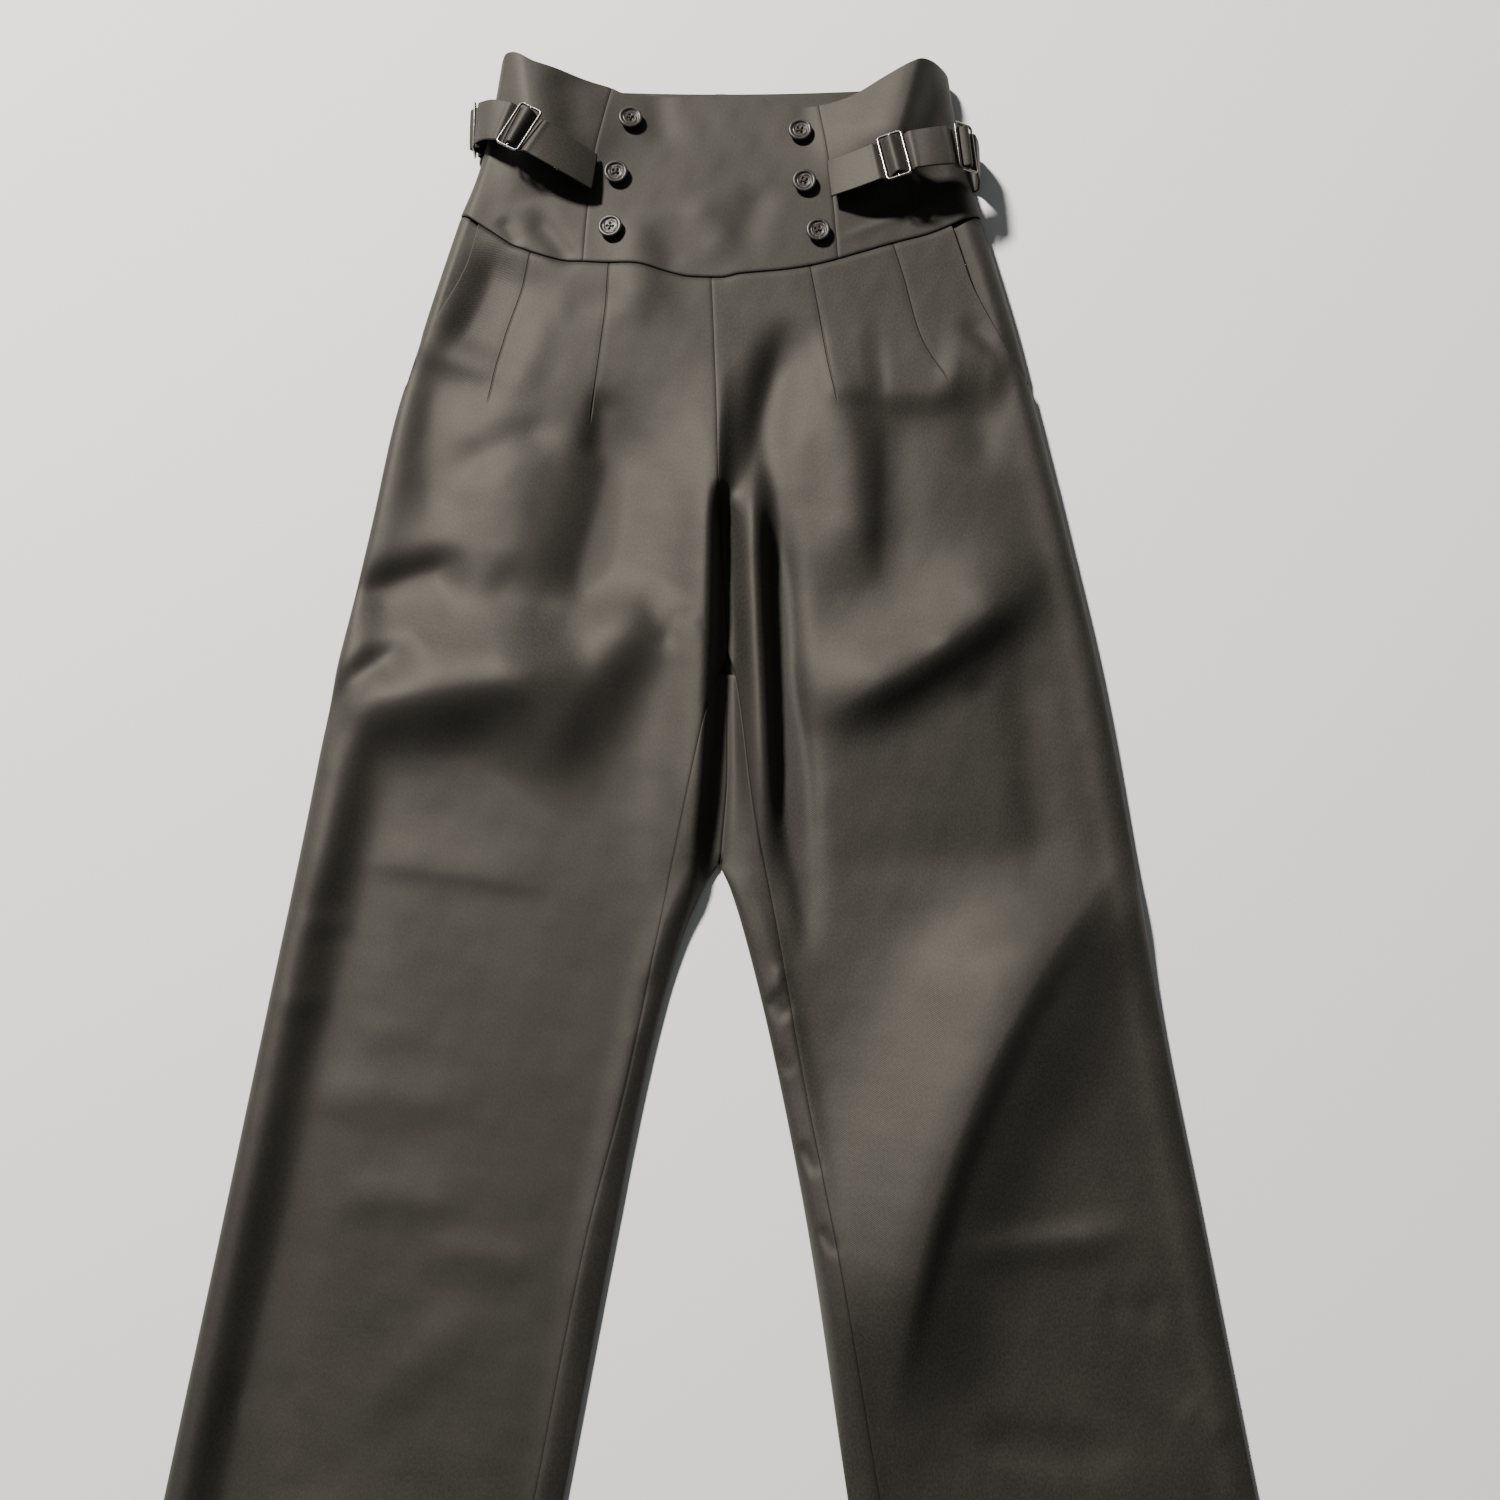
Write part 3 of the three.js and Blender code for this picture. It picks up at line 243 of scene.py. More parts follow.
# A button's profile: shares of its radius, with heights over the underside of its disc, and then
# with depths under the top of its rim.
BUTTON_RIM = [(0.7, 0), (0.86, 0.5), (0.97, 1.368), (1, 2.016), (0.99, 2.664)]
BUTTON_FACE = [
    (0.95, 0.35), (0.89, 0.05), (0.83, 0), (0.77, 0.1), (0.71, 0.5), (0.65, 1), (0.6, 1.15),
    (0.54, 1), (0.48, 1.2), (0.42, 1.3), (0.34, 1.3), (0.27, 1.32), (0.2, 1.34), (0.13, 1.35),
    (0.06, 1.35),
]

# Middle line of each strap: x, y, z.
STRAPS = {
    "right": [
        (-94.7, 1110.4, 31.4), (-99.1, 1111.7, 34.4), (-109, 1115.4, 40.2), (-121.9, 1121, 45.6),
        (-135.8, 1128.2, 49.2), (-148.7, 1135.7, 50.2), (-161.7, 1142.2, 47.4),
        (-173.5, 1147.5, 41.5), (-182.5, 1151.5, 32), (-187.2, 1154, 21), (-188.4, 1155.5, 11.5),
        (-188.2, 1156, 5), (-185.8, 1156, 1.5), (-179, 1156, 0.9), (-167, 1156, 0.9),
        (-108, 1152, 0.9),
    ],
    "left": [
        (81.5, 1105.2, 30.6), (86.3, 1105.3, 33.8), (97.8, 1106, 40), (112.3, 1108.2, 46.4),
        (128.2, 1111.7, 51.2), (141.3, 1114.6, 53.8), (156.7, 1116.9, 54.6), (171.8, 1119.5, 51.8),
        (183.2, 1121.8, 44.6), (191.4, 1123.4, 33.5), (195.4, 1124.8, 21), (196.6, 1126, 11),
        (196.8, 1126.6, 4.6), (194.6, 1126.8, 1.5), (188, 1126.8, 1), (176, 1126.4, 1),
        (108, 1122, 1),
    ],
}
STRAP_DOME = 0.35  # how much higher a strap's middle is than its edges
STRAP_UNDER_HIGH = 2.6  # lift of the back over a strap's end
WEAVE_HIGH, WEAVE_LONG = 3.3, 1.6  # a strap's rise over a slider's middle bar, and its reach in pitches
SLIDER_AT = {"right": (64.0, 124.0), "left": (52.0, 109.0)}  # walks to the sliders' middles
SLIDER_TURN = {"right": (2.0, 0.0), "left": (0.0, 0.0)}  # degrees out of square with the strap


# ---- settings


def length(name, description, default):
    return FloatProperty(
        name=name, description=description, default=default, subtype="DISTANCE", unit="LENGTH"
    )


def tint(name, description, default):
    return FloatVectorProperty(
        name=name, description=description, default=default, subtype="COLOR", size=3
    )


class TrousersSizes(bpy.types.PropertyGroup):
    """Sizes that a user may change."""

    cloth: length("Cloth", "Thickness of the suiting", 0.0012)
    step: length("Mesh step", "Spacing of the fronts' mesh", 0.0026)
    fine_step: length("Fine step", "Spacing of the smaller pieces' mesh", 0.0016)
    groove: length("Seam groove", "Depth of a seam", 0.00028)
    ripple: length("Ripple", "Height of the cloth's small unevenness", 0.00012)
    strap_wide: length("Strap width", "Width of the straps", 0.03)
    strap_thick: length("Strap thickness", "Thickness of the straps", 0.0016)
    wire: length("Slider wire", "Thickness of a slider's wire", 0.0022)
    slider_along: length("Slider length", "Slider along the strap", 0.02)
    slider_across: length("Slider width", "Slider across the strap", 0.038)
    button: length("Button", "Diameter of a button", 0.018)
    holes: IntProperty(name="Button holes", description="Holes through a button", default=4, min=2, max=4)


class TrousersColours(bpy.types.PropertyGroup):
    """Colours that a user may change."""

    cloth: tint("Suiting", "Colour of the cloth", (0.0042, 0.0039, 0.0033))
    cloth_light: tint(
        "Suiting's lighter yarn", "Colour of the yarn's lighter flecks", (0.0235, 0.0218, 0.0183)
    )
    metal: tint("Slider", "Colour of the metal", (0.2, 0.19, 0.175))
    horn: tint("Button", "Colour of the horn", (0.02, 0.016, 0.013))
    horn_light: tint("Button's veins", "Colour of the horn's veins", (0.075, 0.06, 0.048))
    floor: tint("Floor", "Colour of the floor", (0.78, 0.78, 0.76))


def sizes():
    return bpy.context.scene.trousers_sizes


def colours():
    return bpy.context.scene.trousers_colours


# ---- curves and fields


def ease(t):
    """0 below 0, 1 above 1 and t squared times (3 - 2t) between."""
    t = np.clip(t, 0.0, 1.0)
    return t * t * (3 - 2 * t)


def mix(a, b, t):
    return a + (b - a) * t


def unit(v):
    return v / np.linalg.norm(v, axis=-1, keepdims=True)


def column(rows, value=1):
    """A smooth curve through one column of a table, which never overshoots between its rows: a cubic
    on each span, whose slope at a row is the harmonic mean of the slopes beside it."""
    at = np.array([r[0] for r in rows], float)
    v = np.array([r[value] for r in rows], float)
    slope = np.diff(v) / np.diff(at)
    lean = np.concatenate([slope[:1], np.zeros(len(v) - 2), slope[-1:]])
    a, b = slope[:-1], slope[1:]
    same = a * b > 0
    lean[1:-1][same] = 2 * a[same] * b[same] / (a + b)[same]

    def curve(x):
        x = np.asarray(x, float)
        i = np.clip(np.searchsorted(at, x, side="right") - 1, 0, len(at) - 2)
        step = at[i + 1] - at[i]
        t = (x - at[i]) / step
        rise = v[i + 1] - v[i]
        bend = (lean[i] * (1 - t) - lean[i + 1] * t) * step + rise * (2 * t - 1)
        inside = v[i] + t * rise + t * (1 - t) * bend
        below = v[0] + lean[0] * (x - at[0])
        above = v[-1] + lean[-1] * (x - at[-1])
        return np.where(x <= at[0], below, np.where(x >= at[-1], above, inside))

    return curve


def both(rows):
    return {"right": column(rows, 1), "left": column(rows, 2)}


side_edge = both(SIDE_EDGE)
inseam = both(INSEAM)
leg_inner = both(LEG_INNER)
pocket_line = both(POCKET)
panel_seam = both(WAIST_PANEL_SEAM)
centre_seam = column(CENTRE_SEAM)
waist_top = column(WAIST_TOP)
seam_curve = column(WAIST_SEAM)
lay_high = column(LAY, 1)
lay_rim = column(LAY, 2)
lay_inner_rim = column(LAY, 3)
round_reach = {"right": column(LAY, 4), "left": column(LAY, 5)}
valley_x = column(VALLEY, 1)
valley_wide = column(VALLEY, 2)
valley_share = column(VALLEY, 3)


def front_inner(side, y):
    """x of the front's inner side: the centre front seam above the crotch, the inseam below it."""
    return np.where(y > CROTCH_Y, centre_seam(y), inseam[side](y))


def waist_seam_y(x):
    """y of the waist seam, level beyond its ends."""
    return seam_curve(np.clip(x, WAIST_SEAM[0][0], WAIST_SEAM[-1][0]))


def fold_high(row, x, y):
    """Height of one fold: a bell across its bowed line, with a width for each flank, that fades out
    over each end of its length."""
    x1, y1, x2, y2, bow, high, left, right = row
    dx, dy = x2 - x1, y2 - y1
    length = np.hypot(dx, dy)
    t = ((x - x1) * dx + (y - y1) * dy) / length**2
    off = ((y - y1) * dx - (x - x1) * dy) / length - 4 * bow * t * (1 - t)
    ends = ease(t / FOLD_END) * ease((1 - t) / FOLD_END)
    return high * ends * np.exp(-((off / np.where(off > 0, left, right)) ** 2))


def ripple(x, y):
    """Small unevenness: a sum of slow waves in several directions."""
    return sum(np.sin(a * x + b * y + c + 1.3 * np.sin(b * x - a * y)) for a, b, c in WAVES) / 2.2


def top_high(x, y):
    """Height of the upper layer's outer face: the lay and its rims, the folds and creases added to
    it, the valley between the fronts, and a soft floor just clear of the layer below."""
    x, y = np.broadcast_arrays(np.asarray(x, float), np.asarray(y, float))
    right = x < valley_x(y)
    from_side = np.abs(np.where(right, side_edge["right"](y), side_edge["left"](y)) - x)
    from_inner = np.abs(np.where(right, leg_inner["right"](y), leg_inner["left"](y)) - x)
    high = lay_high(y) + lay_rim(y) * np.exp(-(((from_side - RIM_IN) / RIM_WIDE) ** 2))
    inner_rim = lay_inner_rim(y) * ease((APEX_Y - y) / 60)
    high = high + inner_rim * np.exp(-(((from_inner - RIM_IN) / RIM_WIDE) ** 2))
    for row in FOLDS + CREASES:
        high = high + fold_high(row, x, y)
    high = high + ripple(x, y) * sizes().ripple / MM
    low, top = VALLEY[0][0], VALLEY[-1][0]
    off = np.abs((x - valley_x(y)) / np.maximum(valley_wide(y), 1.0))
    inside = valley_share(y) * ease((y - low) / VALLEY_FADE) * np.exp(-(off**VALLEY_POWER))
    inside = np.where((y > low) & (y < top), inside, 0.0)
    high = mix(high, LEAST_HIGH + 0.4, inside)
    least = LEAST_HIGH + POCKET_LEAST * ease((y - 900) / 40) * ease((np.abs(x) - 140) / 25)
    soft = least + SOFT_FLOOR * np.exp(np.minimum(0.0, (high - least - SOFT_FLOOR) / SOFT_FLOOR))
    return np.where(high > least + SOFT_FLOOR, high, soft)


def top_normal(x, y, step=2.0):
    """Unit normal of the upper layer, from the height's slopes along x and y."""
    sx = (top_high(x + step, y) - top_high(x - step, y)) / (2 * step)
    sy = (top_high(x, y + step) - top_high(x, y - step)) / (2 * step)
    return unit(np.stack([-sx, -sy, np.ones_like(sx)], -1))


def groove(d, depth=None, wide=1.0):
    """How far the cloth is drawn in at a distance d from a seam: a narrow bell."""
    depth = sizes().groove / MM if depth is None else depth
    return depth * np.exp(-((d / wide) ** 2))


def spaced(length, step, first=0.45):
    """Distances from 0 to length: close together by both ends, then evenly at about step."""
    near = np.array([0.0, 1.0, 2.3, 4.2]) * first
    start = near[-1] + step * 0.8
    middle = np.linspace(start, length - near[-1] - step * 0.8, max(2, int(length / step)))
    return np.concatenate([near, middle, (length - near)[::-1]])


def shares_of(length, step):
    """The same spacing, as shares of the length."""
    return spaced(length, step) / length


# ---- cloth shells


class Patch:
    """A grid of points in millimetres, the axes along which the thickness may not lean, a map of the
    cut, and the signed distances from the darts and how far each dart still runs."""

    def __init__(self, points, locked=None, uv=None, dart=None, along=None):
        self.points = points
        self.locked = np.zeros(points.shape, bool) if locked is None else locked
        self.uv = points[..., :2] if uv is None else uv
        self.dart = np.full(points.shape, FAR) if dart is None else dart
        self.along = np.full(points.shape, -FAR) if along is None else along

    def turned(self):
        """The same grid, facing the other way."""
        return Patch(**{k: v[:, ::-1] for k, v in vars(self).items()})


def lock(shape, first_row="", last_row="", first_column="", last_column=""):
    """Marks the edge rows and columns of a grid with the axes that their thickness may not lean along."""
    out = np.zeros(shape + (3,), bool)
    for axes, where in (
        (first_row, np.s_[0, :]),
        (last_row, np.s_[-1, :]),
        (first_column, np.s_[:, 0]),
        (last_column, np.s_[:, -1]),
    ):
        for axis in axes:
            out[where + ("xyz".index(axis),)] = True
    return out


def wall(name, patches, node, thick=None, material="suiting"):
    """Turns patches into one closed shell of cloth with rounded edges. The inner face is the outer one
    moved in by the thickness along its normals, and each open edge gets a middle line nearly half a
    thickness out, so that its cross-section is nearly round."""
    thick = sizes().cloth / MM if thick is None else thick
    flat_points = np.concatenate([p.points.reshape(-1, 3) for p in patches])
    key = np.round(flat_points * WELD).astype(np.int64)
    _, first, inverse = np.unique(key, axis=0, return_index=True, return_inverse=True)
    inverse = inverse.reshape(-1)
    p = flat_points[first]
    locked, uv, dart, along = (
        np.concatenate([f.reshape(-1, f.shape[-1]) for f in fields])[first]
        for fields in zip(*((q.locked, q.uv, q.dart, q.along) for q in patches))
    )
    quads, start = [], 0
    for q in patches:
        r, c = q.points.shape[:2]
        ids = inverse[start : start + r * c].reshape(r, c)
        start += r * c
        quads.append(np.stack([ids[:-1, :-1], ids[:-1, 1:], ids[1:, 1:], ids[1:, :-1]], -1).reshape(-1, 4))
    quads = np.concatenate(quads)
    facing = np.cross(p[quads[:, 2]] - p[quads[:, 0]], p[quads[:, 3]] - p[quads[:, 1]])
    normal = np.zeros_like(p)
    for k in range(4):
        np.add.at(normal, quads[:, k], facing)
    normal[locked] = 0
    normal /= np.maximum(np.linalg.norm(normal, axis=1, keepdims=True), 1e-9)
    inner = p - normal * thick
    edges = np.concatenate([quads[:, [k, (k + 1) % 4]] for k in range(4)])
    n = len(p)
    code, back = edges[:, 0] * n + edges[:, 1], edges[:, 1] * n + edges[:, 0]
    rim = edges[~np.isin(code, back)]
    run = p[rim[:, 1]] - p[rim[:, 0]]
    out = np.zeros_like(p)
    for k in range(2):
        np.add.at(out, rim[:, k], np.cross(run, normal[rim[:, k]]))
    on_rim = np.unique(rim)
    out = out[on_rim] / np.maximum(np.linalg.norm(out[on_rim], axis=1, keepdims=True), 1e-9)
    middle = (p[on_rim] + inner[on_rim]) / 2 + out * thick * RIM_BULGE
    place = np.zeros(n, int)
    place[on_rim] = 2 * n + np.arange(len(on_rim))
    i, j = rim[:, 0], rim[:, 1]
    rims = np.concatenate(
        [np.stack([j, i, place[i], place[j]], 1), np.stack([place[j], place[i], i + n, j + n], 1)]
    )
    faces = np.concatenate([quads, quads[:, ::-1] + n, rims])
    points = (np.concatenate([p, inner, middle]) + SHIFT) * MM
    obj = mesh_object(name, points, faces, material_for(material))

    def everywhere(field):
        return np.concatenate([field, field, field[on_rim]])

    add_uv(obj, everywhere(uv) * MM)
    add_field(obj, "dart", everywhere(dart))
    add_field(obj, "along", everywhere(along))
    # The rim vertices, which the suiting darkens with painted shade along the pieces' edges.
    edge = everywhere(np.isin(np.arange(n), on_rim).astype(float))
    add_field(obj, "edge", np.repeat(edge[:, None], 3, 1))
    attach(obj, "root")
    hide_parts(node)


def fill(collection, name, values, kind=np.float32):
    """Sets one value of everything in a collection from an array."""
    collection.foreach_set(name, np.ascontiguousarray(values, kind).ravel())


def add_object(name, data):
    obj = bpy.data.objects.new(name, data)
    bpy.context.scene.collection.objects.link(obj)
    return obj


def mesh_object(name, points, faces, material):
    """A smooth mesh of quads, filled from whole arrays."""
    mesh = bpy.data.meshes.new(name)
    mesh.vertices.add(len(points))
    fill(mesh.vertices, "co", points)
    mesh.loops.add(faces.size)
    fill(mesh.loops, "vertex_index", faces, np.int32)
    mesh.polygons.add(len(faces))
    fill(mesh.polygons, "loop_start", np.arange(0, faces.size, 4), np.int32)
    fill(mesh.polygons, "loop_total", np.full(len(faces), 4), np.int32)
    mesh.update(calc_edges=True)
    fill(mesh.polygons, "use_smooth", np.ones(len(faces)), bool)
    mesh.validate()
    mesh.materials.append(material)
    return add_object(name, mesh)


def add_uv(obj, uv):
    """Lays the map of the cut on a mesh, from one pair for each vertex."""
    layer = obj.data.uv_layers.new(name="cut")
    index = np.empty(len(obj.data.loops), np.int32)
    obj.data.loops.foreach_get("vertex_index", index)
    fill(layer.data, "uv", uv[index])


def add_field(obj, name, values):
    """Keeps three numbers for each vertex, for the materials to read."""
    made = obj.data.attributes.new(name=name, type="FLOAT_VECTOR", domain="POINT")
    fill(made.data, "vector", values)


# ---- rows across the garment


class LegRows:
    """Rows of the trousers below the waist, for shares from 0 at the waist seam to 1 at the hem. Each
    is a straight line from the inner to the outer side, bent by the waist seam's curve near it."""

    def __init__(self, side, share):
        self.side, self.sign, self.share = side, SIDES[side], share
        self.outer_y = mix(WAIST_SIDE_Y - SEAM_GAP, HEM_OUTER, share)
        self.inner_y = mix(WAIST_CENTRE_Y - SEAM_GAP, 0.0, share)
        self.outer_x = side_edge[side](self.outer_y)
        self.inner_x = front_inner(side, self.inner_y)
        self.reach = round_reach[side](self.outer_y)

    def y_at(self, x):
        t = (x - self.inner_x) / (self.outer_x - self.inner_x)
        fade = 1 - ease(self.share / 0.3)
        off_line = waist_seam_y(x) - mix(WAIST_CENTRE_Y, WAIST_SIDE_Y, t)
        return mix(self.inner_y, self.outer_y, t) + fade * off_line

    def pocket_x(self):
        x = pocket_line[self.side](self.outer_y)
        for _ in range(10):
            x = pocket_line[self.side](self.y_at(x))
        return x


class WaistRows:
    """Rows of the waist, for shares from 0 at the waist seam to 1 at the upper edge."""

    def __init__(self, side, share, top=waist_top):
        self.side, self.sign, self.share, self.top = side, SIDES[side], share, top
        self.outer_y = mix(WAIST_SIDE_Y + SEAM_GAP, WAIST_TOP_SIDE, share)
        self.outer_x = side_edge[side](self.outer_y)
        self.reach = round_reach[side](self.outer_y)

    def y_at(self, x):
        return mix(waist_seam_y(x) + SEAM_GAP, self.top(x), self.share)

    def seam_x(self):
        x = panel_seam[self.side](1100.0) + 0 * self.outer_y
        for _ in range(8):
            x = panel_seam[self.side](self.y_at(x))
        return x


def walk_to(rows, x):
    """Distance along the cloth from the side seam to x: an arc round the edge, then straight in."""
    inward = np.abs(rows.outer_x - x)
    arc = rows.reach * np.arccos(np.clip(1 - inward / rows.reach, -1, 1))
    return np.where(inward >= rows.reach, rows.reach * (np.pi / 2 - 1) + inward, arc)


def upper_point(rows, walk, sink):
    """Point of the upper layer at a walk from the side seam, sunk inside its face."""
    bend = np.minimum(walk / rows.reach, np.pi / 2)
    inward = rows.reach * (1 - np.cos(bend)) + np.maximum(0, walk - rows.reach * np.pi / 2)
    x = rows.outer_x - rows.sign * inward
    y = rows.y_at(x)
    high = mix(SIDE_SEAM_HIGH, top_high(x, y), np.sin(bend))
    out = top_normal(x, y) * np.sin(bend)[..., None]
    out[..., 0] += rows.sign * np.cos(bend)
    return np.stack([x, y, high], -1) - unit(out) * sink[..., None]


def dart_fields(side, x, y):
    """Signed distance of each point from the two darts, and how far above its point each dart is."""
    d, run = np.full(x.shape + (3,), FAR), np.full(x.shape + (3,), -FAR)
    for k, rows in enumerate(DARTS[side]):
        d[..., k] = x - column(rows)(y)
        run[..., k] = y - rows[0][0]
    return d, run


def oriented(side, patch):
    """Turns the wearer's left, so that both sides face out."""
    return patch.turned() if SIDES[side] > 0 else patch


# ---- materials


def new_material(name, **inputs):
    """A material, its nodes and its shader, with some of the shader's inputs set by name."""
    material = bpy.data.materials.new(name)
    material.use_nodes = True
    shader = material.node_tree.nodes["Principled BSDF"]
    for key, value in inputs.items():
        shader.inputs[key].default_value = value
    return material, material.node_tree, shader


def feed(tree, socket, value):
    """Links another node's output to a socket, or sets the socket's own value."""
    if hasattr(value, "links"):
        tree.links.new(value, socket)
    else:
        socket.default_value = value


def node(tree, kind, **inputs):
    """A new node, with its inputs fed by name."""
    made = tree.nodes.new(kind)
    for name, value in inputs.items():
        feed(tree, made.inputs[name], value)
    return made


def maths(tree, operation, a, b=0.0):
    made = tree.nodes.new("ShaderNodeMath")
    made.operation = operation
    for socket, value in zip(made.inputs, (a, b)):
        feed(tree, socket, value)
    return made.outputs[0]


def noise(tree, vector, scale, detail=2.0, roughness=0.5):
    inputs = {"Vector": vector, "Scale": scale, "Detail": detail, "Roughness": roughness}
    return node(tree, "ShaderNodeTexNoise", **inputs).outputs["Fac"]


def field(tree, name):
    """The node that reads the numbers add_field keeps on a mesh."""
    read = node(tree, "ShaderNodeAttribute")
    read.attribute_name = name
    return read


def smooth_range(tree, value, low, high, to_low=0.0, to_high=1.0):
    """A value's way from low to high, eased at both ends, as a number from to_low to to_high."""
    made = tree.nodes.new("ShaderNodeMapRange")
    made.interpolation_type = "SMOOTHSTEP"
    tree.links.new(value, made.inputs["Value"])
    for name, number in (("From Min", low), ("From Max", high), ("To Min", to_low), ("To Max", to_high)):
        made.inputs[name].default_value = number
    return made.outputs["Result"]


def mixed(tree, factor, a, b):
    made = tree.nodes.new("ShaderNodeMix")
    made.data_type = "RGBA"
    tree.links.new(factor, made.inputs["Factor"])
    for name, value in (("A", a), ("B", b)):
        socket = next(s for s in made.inputs if s.name == name and s.type == "RGBA")
        feed(tree, socket, value if hasattr(value, "links") else (*value, 1.0))
    return next(s for s in made.outputs if s.type == "RGBA")


def surface(tree, shader, colour, height, strength, distance):
    """Gives a shader its colour and its bump."""
    tree.links.new(colour, shader.inputs["Base Color"])
    bump = node(tree, "ShaderNodeBump", Strength=strength, Distance=distance, Height=height)
    tree.links.new(bump.outputs[0], shader.inputs["Normal"])


SUITING_SHINE = {
    "Roughness": 0.64,
    "Metallic": 0.0,
    "Specular IOR Level": 0.48,
    "Specular Tint": (1.0, 0.93, 0.82, 1.0),
    "Sheen Weight": 0.02,
    "Sheen Roughness": 0.45,
    "Sheen Tint": (0.9, 0.86, 0.78, 1.0),
}


def suiting_material(material_name="suiting", lift=1.0):
    """Fine twill: close diagonal ribs, a fleck of lighter yarn, a slow cloudiness and a low sheen.
    The darts are thin drawn-in lines, read from the distances on the mesh, sunk in the bump and darkened
    with painted shade, and the pieces' edges are darkened with painted shade where two of them meet."""
    material, tree, shader = new_material(material_name, **SUITING_SHINE)
    base = np.array(colours().cloth) * lift
    light = np.array(colours().cloth_light) * lift
    cut = node(tree, "ShaderNodeUVMap")
    cut.uv_map = "cut"
    place = node(tree, "ShaderNodeTexCoord").outputs["Object"]
    stretch = node(tree, "ShaderNodeMapping", Vector=cut.outputs[0], Scale=(640.0, 420.0, 1.0))
    yarn = noise(tree, stretch.outputs[0], 1.0, 4.0, 0.8)
    fleck = smooth_range(tree, yarn, 0.35, 0.72)
    cloud = smooth_range(tree, noise(tree, place, 14.0, 3.0), 0.3, 0.7)
    tone = maths(tree, "ADD", maths(tree, "MULTIPLY", fleck, 0.7), maths(tree, "MULTIPLY", cloud, 0.3))
    colour = mixed(tree, tone, base, light)
    lines = []
    for k in range(2):
        parts = []
        for name in ("dart", "along"):
            read = field(tree, name).outputs["Vector"]
            parts.append(node(tree, "ShaderNodeSeparateXYZ", Vector=read).outputs[k])
        line = smooth_range(tree, maths(tree, "ABSOLUTE", parts[0]), 0.15, 1.0, 1.0, 0.0)
        lines.append(maths(tree, "MULTIPLY", line, smooth_range(tree, parts[1], -1.0, 10.0)))
    line = maths(tree, "MAXIMUM", lines[0], lines[1])
    # Painted shade: along the darts and along every piece's edges the cloth's colour is darkened towards a
    # fifth of its base, standing in for the shade in these seams.
    seam_shade = maths(tree, "MAXIMUM", line, field(tree, "edge").outputs["Fac"])
    colour = mixed(tree, maths(tree, "MULTIPLY", seam_shade, 0.8), colour, base * 0.2)
    wave = node(tree, "ShaderNodeTexWave", Vector=cut.outputs[0], Scale=420.0, Distortion=1.2)
    wave.bands_direction = "DIAGONAL"
    ribs = maths(tree, "MULTIPLY", wave.outputs["Fac"], 0.3)
    height = maths(tree, "ADD", maths(tree, "MULTIPLY", yarn, 0.7), ribs)
    height = maths(tree, "SUBTRACT", height, maths(tree, "MULTIPLY", line, 3.0))
    surface(tree, shader, colour, height, 0.8, 0.0002)
    return material


def metal_material():
    """Dark polished wire with fine wear."""
    material, tree, shader = new_material("slider_metal", Roughness=0.24, Metallic=1.0)
    place = node(tree, "ShaderNodeTexCoord").outputs["Object"]
    wear = smooth_range(tree, noise(tree, place, 900.0, 3.0), 0.4, 0.7)
    metal = np.array(colours().metal)
    surface(tree, shader, mixed(tree, wear, metal * 0.8, metal), wear, 0.25, 0.0001)
    return material


def horn_material():
    """Dark horn with pale veins along its grain."""
    material, tree, shader = new_material("button_horn", Roughness=0.42)
    place = node(tree, "ShaderNodeTexCoord").outputs["Object"]
    turned = {"Scale": (500.0, 160.0, 300.0), "Rotation": (0.0, 0.0, 0.7)}
    grain = node(tree, "ShaderNodeMapping", Vector=place, **turned)
    vein = smooth_range(tree, noise(tree, grain.outputs[0], 1.0, 4.0, 0.6), 0.5, 0.78)
    horn, light = np.array(colours().horn), np.array(colours().horn_light)
    surface(tree, shader, mixed(tree, vein, horn, light), vein, 0.4, 0.0002)
    return material


_made = {}


def material_for(name):
    """Each material is made once and shared by the pieces that have it."""
    makers = {
        "suiting": suiting_material,
        "strap": lambda: suiting_material("strap", 1.04),
        "slider_metal": metal_material,
        "button_horn": horn_material,
    }
    if name not in _made:
        _made[name] = makers[name]()
    return _made[name]


# ---- the pieces


def build_front(side):
    """One front as a grid: rows from the waist seam to the hem, columns from the inner side to the
    pocket mouth or the side seam. The seams are drawn in and the darts slightly sunk."""
    step = sizes().step / MM
    rows = LegRows(side, shares_of(FRONT_LONG, step)[:, None])
    inner = walk_to(rows, rows.inner_x + rows.sign * SEAM_GAP / 2)
    mouth = walk_to(rows, rows.pocket_x())
    open_here = ease((rows.outer_y - POCKET_LOW) / 10)
    outer = np.where(rows.outer_y > POCKET_LOW, mouth * open_here, 0.0)
    t = shares_of(FRONT_WIDE, step)[None, :]
    walk = mix(inner, outer, t)
    x = rows.outer_x - rows.sign * np.maximum(walk - rows.reach * (np.pi / 2 - 1), 0)
    y = rows.y_at(x)
    sink = groove(np.abs(walk - inner)) + groove(waist_seam_y(x) - y, *FRONT_TOP_GROOVE)
    sink = sink + groove(walk, *SIDE_GROOVE) * (1 - open_here)
    d, run = dart_fields(side, x, y)
    for k in range(len(DARTS[side])):
        sink = sink + groove(d[..., k], DART_DEEP, DART_WIDE) * ease(run[..., k] / DART_FADE)
    points = upper_point(rows, walk, sink)
    locked = lock(walk.shape, first_row="y", first_column="x")
    locked[:, -1, 2] |= rows.outer_y[:, 0] <= POCKET_LOW
    uv = np.stack([walk, rows.share * FRONT_LONG + 0 * walk], -1)
    patch = oriented(side, Patch(points, locked, uv, d, run))
    wall(f"cloth_front_{side}", [patch], f"front_{side}")


